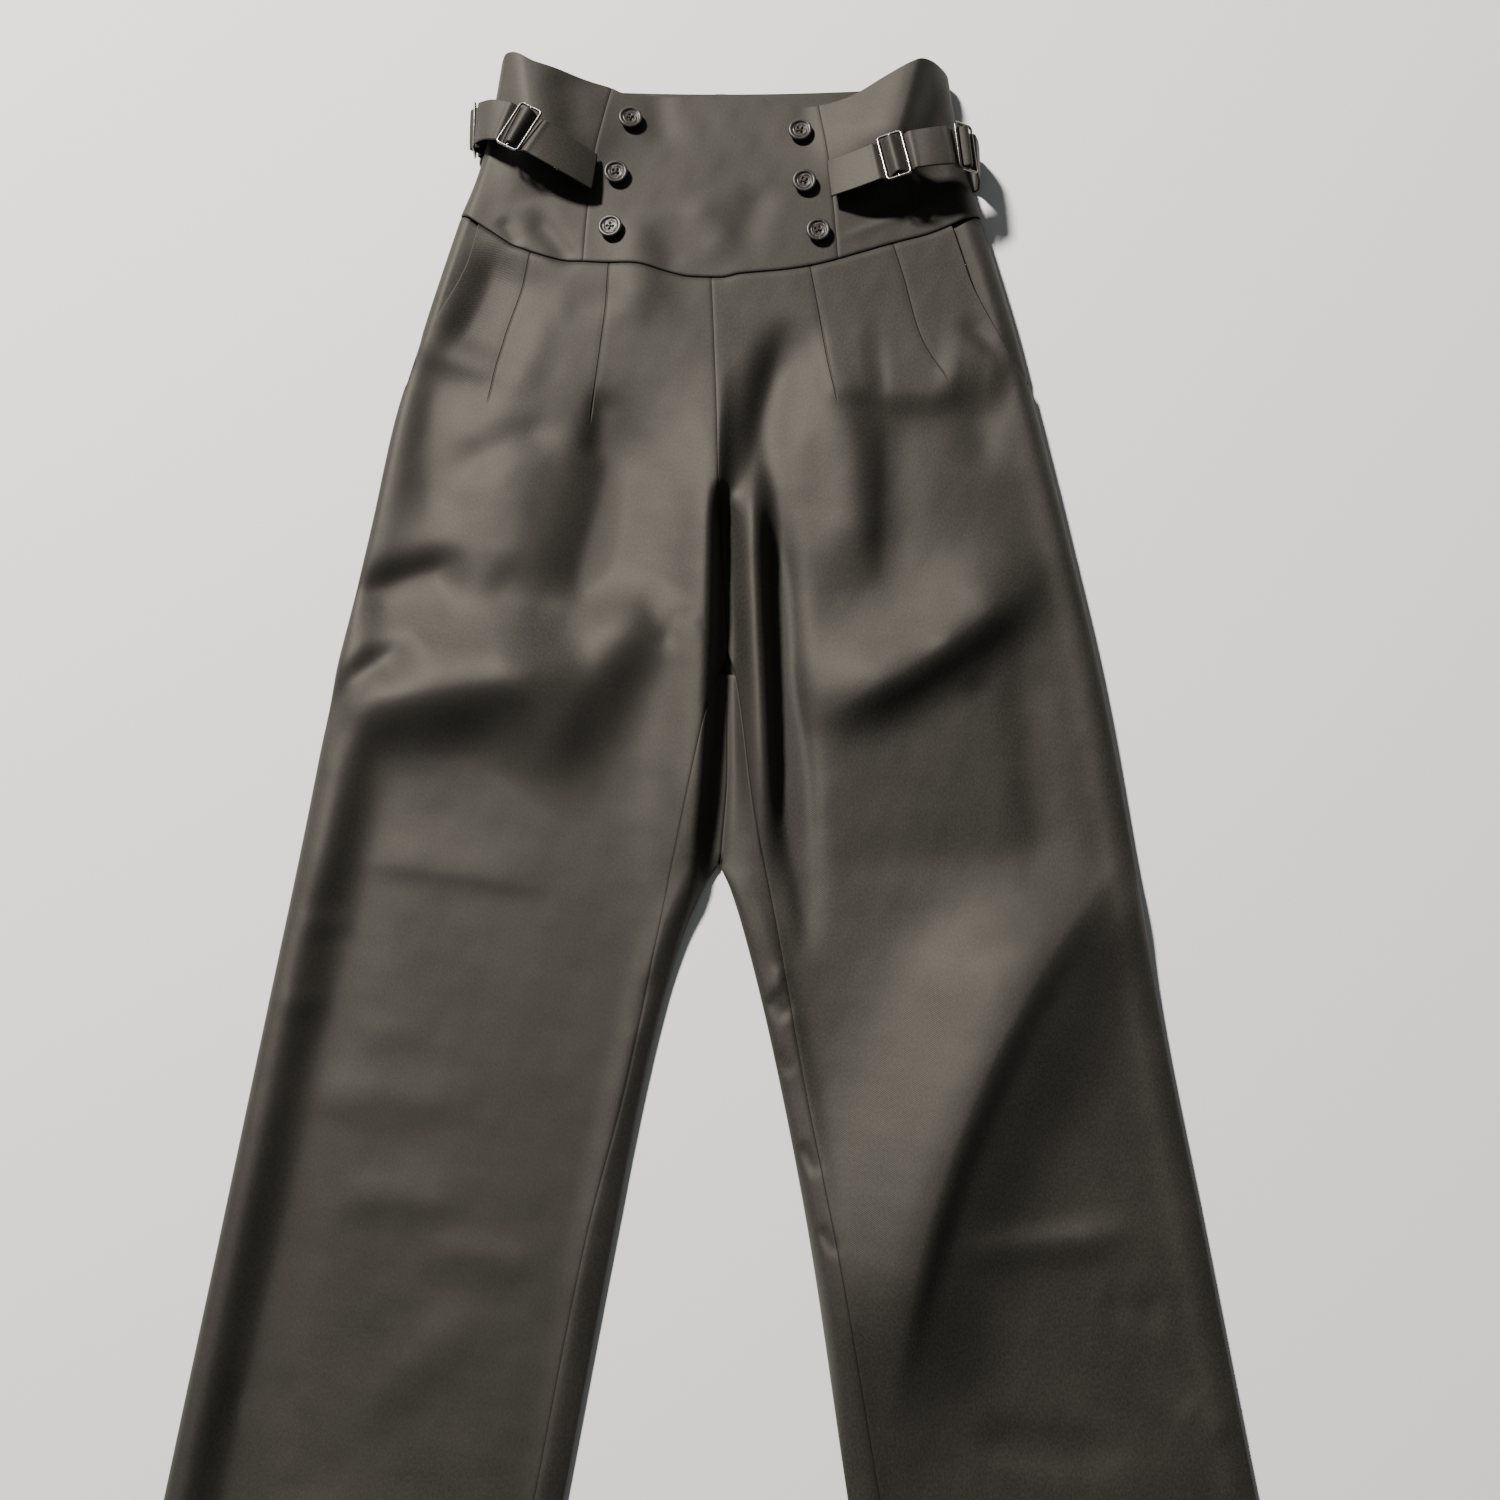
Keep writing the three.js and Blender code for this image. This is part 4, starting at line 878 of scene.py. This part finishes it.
def build_pocket_side(side):
    """The piece between the pocket mouth and the side seam, which runs on under the front."""
    step = sizes().fine_step / MM
    shares = shares_of(FRONT_LONG, step)[:, None]
    rows = LegRows(side, shares[LegRows(side, shares).outer_y[:, 0] > POCKET_LOW + 5])
    mouth = np.maximum(walk_to(rows, rows.pocket_x()), 0.5)
    shown = np.clip((mouth - 4) / 12, 0, 1)
    beyond = mix(mouth, walk_to(rows, rows.inner_x), 0.1)
    t = np.linspace(0, 1, 34)[None, :]
    hidden = 0.3  # share of the columns that lie under the front
    walk = np.where(t < hidden, mix(beyond, mouth, t / hidden), mouth * (1 - (t - hidden) / (1 - hidden)))
    drop = POCKET_DROP * mix(1, ease(walk / mouth), shown)
    x = rows.outer_x - rows.sign * walk
    sink = groove(waist_seam_y(x) - rows.y_at(x), *POCKET_TOP_GROOVE) + groove(walk, *SIDE_GROOVE)
    points = upper_point(rows, walk, drop + sink)
    points[0, :, 1] = rows.y_at(points[..., 0])[0] - SEAM_GAP * 1.5
    patch = oriented(side, Patch(points, lock(walk.shape, first_row="y", last_column="z")))
    wall(f"cloth_pocket_{side}", [patch], f"pocket_side_{side}")


def under_edge(rows, high=0.0):
    """From the side seam down round the edge: a quarter of an ellipse."""
    bend = np.linspace(0, np.pi / 2, 7)[None, :]
    x = rows.outer_x - rows.sign * UNDER_REACH * (1 - np.cos(bend))
    z = mix(SIDE_SEAM_HIGH - SEAM_GAP, high, np.sin(bend)) + 0 * x
    return np.stack([x, rows.y_at(x), z], -1)


# Shares across the backs' flat part and across the strip inside the inseam.
GROUND = np.array([0.05, 0.12, 0.2, 0.3, 0.4, 0.5, 0.6, 0.7, 0.8, 0.88, 0.94, 1.0])[None, :]
STRIP = np.array([0.14, 0.28, 0.42, 0.56, 0.7, 0.82, 0.9, 0.96, 1.0])[None, :]


def build_back(side):
    """One back: flat underneath, round the side edge up to the side seam, and below the crotch round
    the leg's inner edge up to the inseam. A tongue of it shows in the valley between the fronts."""
    sign = SIDES[side]
    step = sizes().step / MM
    shares = shares_of(FRONT_LONG, step)
    apex = (WAIST_CENTRE_Y - SEAM_GAP - APEX_Y) / (WAIST_CENTRE_Y - SEAM_GAP)
    clear = 0.0015  # least share between the apex's row and the next
    lower = LegRows(side, np.concatenate([[apex], shares[shares > apex + clear]])[:, None])
    upper = LegRows(side, np.concatenate([shares[shares < apex - clear][::2], [apex]])[:, None])

    def ground(rows, to):
        x = mix(rows.outer_x - sign * UNDER_REACH, to, GROUND)
        return np.concatenate([under_edge(rows), np.stack([x, rows.y_at(x), np.zeros_like(x)], -1)], 1)

    edge_x = leg_inner[side](lower.inner_y)
    turn = np.stack([edge_x, lower.y_at(edge_x), np.full_like(edge_x, INNER_FOLD_HIGH)], -1)
    lower_ground = np.concatenate([ground(lower, edge_x + sign * 4), turn], 1)
    bend = np.linspace(0, np.pi / 2, 8)[None, :]
    reach = np.minimum(INNER_REACH[side], 0.8 * np.abs(lower.inner_x - edge_x))
    x = edge_x + sign * reach * (1 - np.cos(bend))
    y = lower.y_at(x)
    arc = np.stack([x, y, mix(INNER_FOLD_HIGH, top_high(x, y), np.sin(bend))], -1)
    seam_x = lower.inner_x - sign * SEAM_GAP / 2
    x = mix(edge_x + sign * reach, seam_x, STRIP)
    y = lower.y_at(x)
    z = top_high(x, y) - groove(np.abs(x - seam_x))
    over = np.concatenate([arc, np.stack([x, y, z], -1)], 1)
    upper_ground = ground(upper, np.full_like(upper.inner_y, sign * SEAM_GAP / 2))
    near, rim = upper_ground[:, -2:-1], upper_ground[:, -1:]
    upper_ground = np.concatenate([upper_ground[:, :-1], (near + rim) / 2, rim], 1)
    upper_ground[-1] = lower_ground[0]
    tongue_y = np.arange(TONGUE_TOP, APEX_Y + 1, -step)[:, None]
    seam = front_inner(side, tongue_y) - sign * SEAM_GAP / 2
    middle = valley_x(tongue_y) + sign * SEAM_GAP / 2
    t = np.linspace(0, 1, over.shape[1])[None, :]
    x = middle + sign * np.maximum(sign * (seam - middle), 1.2) * t
    y = tongue_y + 0 * x
    tongue = np.stack([x, y, top_high(x, y) - groove(np.abs(x - seam))], -1)
    tongue = np.concatenate([tongue, over[:1]])
    patches = [
        Patch(upper_ground, lock(upper_ground.shape[:2], first_row="y", first_column="z", last_column="x")),
        Patch(lower_ground, lock(lower_ground.shape[:2], first_column="z")),
        Patch(over, lock(over.shape[:2], last_column="x")),
        Patch(tongue, lock(tongue.shape[:2], first_column="x", last_column="x")),
    ]
    wall(f"cloth_back_{side}", [oriented(side, p) for p in patches], f"back_{side}")


def build_waist_side(side):
    """A side front of the waist: rows from the waist seam to the upper edge, columns from the centre
    front's seam round to the side seam."""
    step = sizes().fine_step / MM
    rows = WaistRows(side, shares_of(WAIST_HIGH, step)[:, None])
    inner = walk_to(rows, rows.seam_x() + rows.sign * SEAM_GAP / 2)
    walk = inner * (1 - shares_of(WAIST_SIDE_WIDE, step)[None, :])
    x = rows.outer_x - rows.sign * walk
    sink = groove(np.abs(walk - inner)) + groove(rows.y_at(x) - waist_seam_y(x), *WAIST_LOW_GROOVE)
    sink = sink + groove(walk, *SIDE_GROOVE)
    points = upper_point(rows, walk, sink)
    locked = lock(walk.shape, first_row="y", last_row="y", first_column="x", last_column="z")
    patch = oriented(side, Patch(points, locked)).turned()
    wall(f"cloth_waist_{side}", [patch], f"waist_side_{side}")


def build_waist_centre():
    """The centre front of the waist, between its two seams."""
    step = sizes().fine_step / MM
    share = shares_of(WAIST_HIGH, step)[:, None]
    ends = []
    for side in SIDES:
        rows = WaistRows(side, share)
        ends.append(rows.seam_x() - rows.sign * SEAM_GAP / 2)
    x = mix(ends[0], ends[1], shares_of(WAIST_CENTRE_WIDE, step)[None, :])
    y = rows.y_at(x)
    sink = groove(np.abs(x - ends[0])) + groove(np.abs(x - ends[1]))
    sink = sink + groove(y - waist_seam_y(x), *WAIST_LOW_GROOVE)
    points = np.stack([x, y, top_high(x, y) - sink], -1)
    locked = lock(x.shape, first_row="y", last_row="y", first_column="x", last_column="x")
    wall("cloth_waist_centre", [Patch(points, locked)], "waist_centre")


def waist_back_high(side, x, y):
    """The back waist lies on the surface, lifted a little where the end of a strap is under it."""
    across = ease((np.abs(x) - 66) / 30)
    along = 1 - ease((np.abs(y - STRAP_BACK_Y[side]) - 20) / 20)
    return STRAP_UNDER_HIGH * across * along


def build_waist_back(side):
    """Half of the back waist, flat underneath and round the side edge up to the side seam."""
    step = sizes().fine_step / MM

    def top(x):
        return mix(BACK_TOP, WAIST_TOP_SIDE, (x / WAIST_TOP[-1][0]) ** 2)

    rows = WaistRows(side, shares_of(WAIST_HIGH, step)[:, None], top)
    start = rows.outer_x - rows.sign * UNDER_REACH
    edge = under_edge(rows, waist_back_high(side, start, rows.y_at(start)))
    x = mix(start, rows.sign * SEAM_GAP / 2, np.linspace(0, 1, 90)[None, 1:])
    y = rows.y_at(x)
    flat = np.stack([x, y, waist_back_high(side, x, y)], -1)
    grid = np.concatenate([edge, flat], 1)
    locked = lock(grid.shape[:2], first_row="y", last_row="y", first_column="z", last_column="x")
    patch = oriented(side, Patch(grid, locked)).turned()
    wall(f"cloth_waist_back_{side}", [patch], f"waist_back_{side}")


# ---- straps and sliders


def strap_path(side, count=700):
    """Points along a strap's middle line, evenly spaced: a centripetal curve through the table."""
    p = np.array(STRAPS[side], float)
    p = np.concatenate([[2 * p[0] - p[1]], p, [2 * p[-1] - p[-2]]])
    knot = np.concatenate([[0], np.cumsum(np.linalg.norm(np.diff(p, axis=0), axis=1) ** 0.5)])
    out = []
    for i in range(1, len(p) - 2):
        t = np.linspace(knot[i], knot[i + 1], 60, endpoint=i == len(p) - 3)[:, None]
        k, q = knot[i - 1 : i + 3], p[i - 1 : i + 3]
        a = [((k[j + 1] - t) * q[j] + (t - k[j]) * q[j + 1]) / (k[j + 1] - k[j]) for j in range(3)]
        b = [((k[j + 2] - t) * a[j] + (t - k[j]) * a[j + 1]) / (k[j + 2] - k[j]) for j in range(2)]
        out.append(((k[2] - t) * b[0] + (t - k[1]) * b[1]) / (k[2] - k[1]))
    line = np.concatenate(out)
    walk = np.concatenate([[0], np.cumsum(np.linalg.norm(np.diff(line, axis=0), axis=1))])
    even = np.linspace(0, walk[-1], count)
    return even, np.stack([np.interp(even, walk, line[:, k]) for k in range(3)], -1)


def strap_axes(side, line):
    """Directions along a strap, across it and out of it at each point of its middle line."""
    along = unit(np.gradient(line, axis=0))
    across = unit(np.array([[0.0, 1.0, 0.0]]) - along * along[:, 1:2])
    return along, across, np.cross(along, across) * SIDES[side]


def weave(side, walk):
    """A strap's rise off its middle line: over a slider's centre bar and under its end bars. It is a
    cosine of the walk from the slider's middle, times a bell with a flat top."""
    bars = 0.0024
    pitch = (sizes().slider_along - bars) / MM / 2
    off = [(walk - at) / pitch for at in SLIDER_AT[side]]
    return sum(WEAVE_HIGH * np.cos(np.pi * o) * np.exp(-((o / WEAVE_LONG) ** 6)) for o in off)


def build_strap(side):
    """A doubled band of cloth along its middle line, slightly domed across its width."""
    wide, thick = sizes().strap_wide / MM, sizes().strap_thick / MM
    walk, line = strap_path(side, 260)
    along, across, out = strap_axes(side, line)
    t = np.concatenate([[-0.5, -0.49, -0.47], np.linspace(-0.44, 0.44, 19), [0.47, 0.49, 0.5]])
    dome = STRAP_DOME * (1 - (2 * t[None, :]) ** 4)
    rise = weave(side, walk)[:, None] + thick / 2 + dome - STRAP_DOME
    lean = STRAP_LEAN[side] * (1 - ease(walk / 30))[:, None] * t[None, :] * wide
    grid = line[:, None] + across[:, None] * (t[None, :, None] * wide) + out[:, None] * rise[..., None]
    grid = grid + along[:, None] * lean[..., None]
    grid[..., 2] = np.maximum(grid[..., 2], 0.0)
    uv = np.stack([t[None, :] * wide + 0 * rise, walk[:, None] + 0 * rise], -1)
    patch = oriented(side, Patch(grid, uv=uv))
    wall(f"cloth_strap_{side}", [patch], f"strap_{side}", thick, "strap")


def ring_faces(spans, rings, sides):
    """Quads between rings of points, each joined to the next, and the last to the first if spans
    equals rings."""
    i, k = np.arange(spans)[:, None], np.arange(sides)[None, :]
    here, ahead, on = i * sides, (i + 1) % rings * sides, (k + 1) % sides
    return np.stack([here + k, here + on, ahead + on, ahead + k], -1).reshape(-1, 4)


def tube(path, radii, sides=12, closed=True):
    """A round wire along a path: a ring of points at each station, square to the path."""
    ahead = unit(np.roll(path, -1, 0) - np.roll(path, 1, 0) if closed else np.gradient(path, axis=0))
    side = unit(np.cross(ahead, np.array([[0.0, 0.0, 1.0]])))
    lift = np.cross(side, ahead)
    turn = np.linspace(0, 2 * np.pi, sides, endpoint=False)
    ring = side[:, None] * np.cos(turn)[None, :, None] * radii[0]
    ring = ring + lift[:, None] * np.sin(turn)[None, :, None] * radii[1]
    points = (path[:, None] + ring).reshape(-1, 3)
    n = len(path)
    return points, ring_faces(n if closed else n - 1, n, sides)


def build_slider(side, number):
    """A rounded rectangle of wire with a bar across its middle."""
    wire = sizes().wire / MM
    half_along = (sizes().slider_along / MM - wire) / 2
    half_across = (sizes().slider_across / MM - wire) / 2
    corner = 2.4
    radii = (wire / 2, wire * 0.42)  # the wire is a little flat
    turn = np.linspace(0, np.pi / 2, 7)
    path = []
    for k, (sx, sy) in enumerate([(1, 1), (-1, 1), (-1, -1), (1, -1)]):
        a = turn + k * np.pi / 2
        centre = np.array([sx * (half_along - corner), sy * (half_across - corner)])
        path.append(centre + corner * np.stack([np.cos(a), np.sin(a)], -1))
    path = np.concatenate(path)
    path = np.concatenate([path, np.zeros((len(path), 1))], 1)
    points, faces = tube(path, radii)
    bar_y = np.linspace(-half_across, half_across, 9)
    bar = np.stack([0 * bar_y, bar_y, 0 * bar_y], -1)
    bar_points, bar_faces = tube(bar, radii, closed=False)
    faces = np.concatenate([faces, bar_faces + len(points)])
    points = np.concatenate([points, bar_points])
    walk, line = strap_path(side)
    along, across, _ = strap_axes(side, line)
    i = int(np.argmin(np.abs(walk - SLIDER_AT[side][number - 1])))
    turned = np.radians(SLIDER_TURN[side][number - 1])
    first = along[i] * np.cos(turned) + across[i] * np.sin(turned)
    face = np.cross(along[i], across[i])
    basis = np.stack([first, np.cross(face, first), face])
    placed = (line[i] + points @ basis + SHIFT) * MM
    obj = mesh_object(f"wire_{side}_{number}", placed, faces, material_for("slider_metal"))
    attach(obj, "root")
    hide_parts(f"slider_{side}_{number}")


# ---- buttons


def lathe(outline, sides=72):
    """A profile of radius and height turned round the upright axis, its face a little uneven."""
    r, z = outline[:, 0][:, None], outline[:, 1][:, None]
    a = np.linspace(0, 2 * np.pi, sides, endpoint=False)[None, :]
    z = z + 0 * a + 0.18 * np.sin(3 * a + 2.2 * r) * np.exp(-(((r - 5.4) / 1.5) ** 2)) * (z > 2.5)
    points = np.stack([r * np.cos(a), r * np.sin(a), z], -1)
    return points.reshape(-1, 3), ring_faces(len(outline) - 1, len(outline), sides)


def build_button(name):
    """A round button with a raised rim, a dished face, real sunk holes and a cross of thread."""
    x, y, turned = BUTTONS[name]
    r = sizes().button / MM / 2
    low, up = 1.6, 5.2  # the disc's underside and the top of its rim
    dish = up - 1.35
    profile = np.array(
        [(0.02, 0.0), (2.4, 0.0), (2.5, 0.2), (2.5, low)]
        + [(r * share, low + rise) for share, rise in BUTTON_RIM]
        + [(r * share, up - drop) for share, drop in BUTTON_FACE]
        + [(0.02, dish)]
    )
    halved = [profile[0]]
    for a, b in zip(profile[:-1], profile[1:]):
        halved += [mix(a, b, 0.5), b]
    points, faces = lathe(np.array(halved))
    spin = np.radians(turned)
    hole_at = r * 0.235
    hole_wide, hole_soft, hole_deep = 0.62, 0.45, 1.3
    for k in range(sizes().holes):
        a = spin + k * 2 * np.pi / sizes().holes
        far = np.linalg.norm(points[:, :2] - hole_at * np.array([np.cos(a), np.sin(a)]), axis=1)
        deep = hole_deep * (1 - ease((far - hole_wide) / hole_soft))
        points[:, 2] -= np.where(points[:, 2] > low + 1, deep, 0)
    n = top_normal(np.array(float(x)), np.array(float(y)))
    base = np.array([x, y, float(top_high(x, y))]) + n * 0.4
    first = unit(np.cross([0.0, 1.0, 0.0], n))
    basis = np.stack([first, np.cross(n, first), n])

    def placed(local):
        return (base + local @ basis + SHIFT) * MM

    horn = name.replace("button", "horn")
    obj = mesh_object(horn, placed(points), faces, material_for("button_horn"))
    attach(obj, "root")
    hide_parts(name)
    threads, thread_faces, count = [], [], 0
    t = np.linspace(-1, 1, 13)
    for k in range(2):
        a = spin + k * np.pi / 2
        arch = dish + 0.55 * (1 - t**4) - 0.5 * np.abs(t) ** 6
        path = np.stack([hole_at * t * np.cos(a), hole_at * t * np.sin(a), arch + 0.12 * k], -1)
        p, f = tube(path, (0.34, 0.3), 8, closed=False)
        threads.append(p)
        thread_faces.append(f + count)
        count += len(p)
    thread = name.replace("button", "thread")
    crossed = placed(np.concatenate(threads))
    made = mesh_object(thread, crossed, np.concatenate(thread_faces), material_for("suiting"))
    add_uv(made, np.array([v.co[:2] for v in made.data.vertices]))
    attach(made, "root")


# ---- the stage


def area_light(name, place, target, size, power, colour):
    data = bpy.data.lights.new(name, "AREA")
    data.shape = "DISK"
    data.size, data.energy, data.color = size, power, colour
    obj = add_object(name, data)
    obj.location = place
    obj.rotation_euler = (Vector(target) - Vector(place)).to_track_quat("-Z", "Y").to_euler()


def build_stage():
    """A plain pale floor, a key light from the upper left, an even sky, and a camera that looks down
    and slightly towards the waist."""
    mesh = bpy.data.meshes.new("floor")
    mesh.from_pydata([(-4, -4, 0), (4, -4, 0), (4, 4, 0), (-4, 4, 0)], [], [(0, 1, 2, 3)])
    floor = add_object("floor", mesh)
    floor.location.z = -0.0005
    paint = {"Roughness": 0.8, "Base Color": (*colours().floor, 1.0)}
    mesh.materials.append(new_material("floor", **paint)[0])
    world = bpy.data.worlds.new("studio")
    world.use_nodes = True
    sky = world.node_tree.nodes["Background"]
    sky.inputs["Color"].default_value = (0.93, 0.96, 1.0, 1.0)
    sky.inputs["Strength"].default_value = 0.13
    bpy.context.scene.world = world
    area_light("key", (-2.246, 2.724, 3.211), (0.0, 0.1, 0.0), 0.54, 600.0, (1.0, 0.97, 0.92))
    data = bpy.data.cameras.new("camera")
    data.lens, data.sensor_width = 38.6, 36.0
    camera = add_object("camera", data)
    camera.location = (0.02513, -0.16534, 1.12)
    camera.rotation_euler = (np.radians(12.0), 0.0, 0.0)
    bpy.context.scene.camera = camera


# ---- operators and panel


class TROUSERS_OT_fronts(bpy.types.Operator):
    """Build the two fronts and the pocket pieces"""

    bl_idname = "trousers.fronts"
    bl_label = "Fronts and pockets"

    def execute(self, context):
        for side in SIDES:
            build_front(side)
            build_pocket_side(side)
        return {"FINISHED"}


class TROUSERS_OT_backs(bpy.types.Operator):
    """Build the two backs"""

    bl_idname = "trousers.backs"
    bl_label = "Backs"

    def execute(self, context):
        for side in SIDES:
            build_back(side)
        return {"FINISHED"}


class TROUSERS_OT_waist(bpy.types.Operator):
    """Build the waist: centre front, side fronts and backs"""

    bl_idname = "trousers.waist"
    bl_label = "Waist"

    def execute(self, context):
        build_waist_centre()
        for side in SIDES:
            build_waist_side(side)
            build_waist_back(side)
        return {"FINISHED"}


class TROUSERS_OT_straps(bpy.types.Operator):
    """Build the cinch straps and their sliders"""

    bl_idname = "trousers.straps"
    bl_label = "Straps and sliders"

    def execute(self, context):
        for side in SIDES:
            build_strap(side)
            for number in (1, 2):
                build_slider(side, number)
        return {"FINISHED"}


class TROUSERS_OT_buttons(bpy.types.Operator):
    """Build the buttons with their thread"""

    bl_idname = "trousers.buttons"
    bl_label = "Buttons"

    def execute(self, context):
        for name in BUTTONS:
            build_button(name)
        return {"FINISHED"}


class TROUSERS_OT_stage(bpy.types.Operator):
    """Set up the floor, the light and the camera"""

    bl_idname = "trousers.stage"
    bl_label = "Stage"

    def execute(self, context):
        build_stage()
        return {"FINISHED"}


OPERATORS = (
    TROUSERS_OT_fronts,
    TROUSERS_OT_backs,
    TROUSERS_OT_waist,
    TROUSERS_OT_straps,
    TROUSERS_OT_buttons,
    TROUSERS_OT_stage,
)


class TROUSERS_PT_panel(bpy.types.Panel):
    """Sizes, colours and build buttons of the trousers"""

    bl_label = "Trousers"
    bl_idname = "TROUSERS_PT_panel"
    bl_space_type = "VIEW_3D"
    bl_region_type = "UI"
    bl_category = "Trousers"

    def draw(self, context):
        layout = self.layout
        for group in (context.scene.trousers_sizes, context.scene.trousers_colours):
            box = layout.box()
            for name in group.__annotations__:
                box.prop(group, name)
        for operator in OPERATORS:
            layout.operator(operator.bl_idname)


CLASSES = (TrousersSizes, TrousersColours, *OPERATORS, TROUSERS_PT_panel)


def register():
    for cls in CLASSES:
        bpy.utils.register_class(cls)
    bpy.types.Scene.trousers_sizes = PointerProperty(type=TrousersSizes)
    bpy.types.Scene.trousers_colours = PointerProperty(type=TrousersColours)


def unregister():
    del bpy.types.Scene.trousers_sizes
    del bpy.types.Scene.trousers_colours
    for cls in reversed(CLASSES):
        bpy.utils.unregister_class(cls)


def main():
    register()
    bpy.ops.trousers.fronts()
    bpy.ops.trousers.backs()
    bpy.ops.trousers.waist()
    bpy.ops.trousers.straps()
    bpy.ops.trousers.buttons()
    bpy.ops.trousers.stage()


if __name__ == "__main__":
    main()
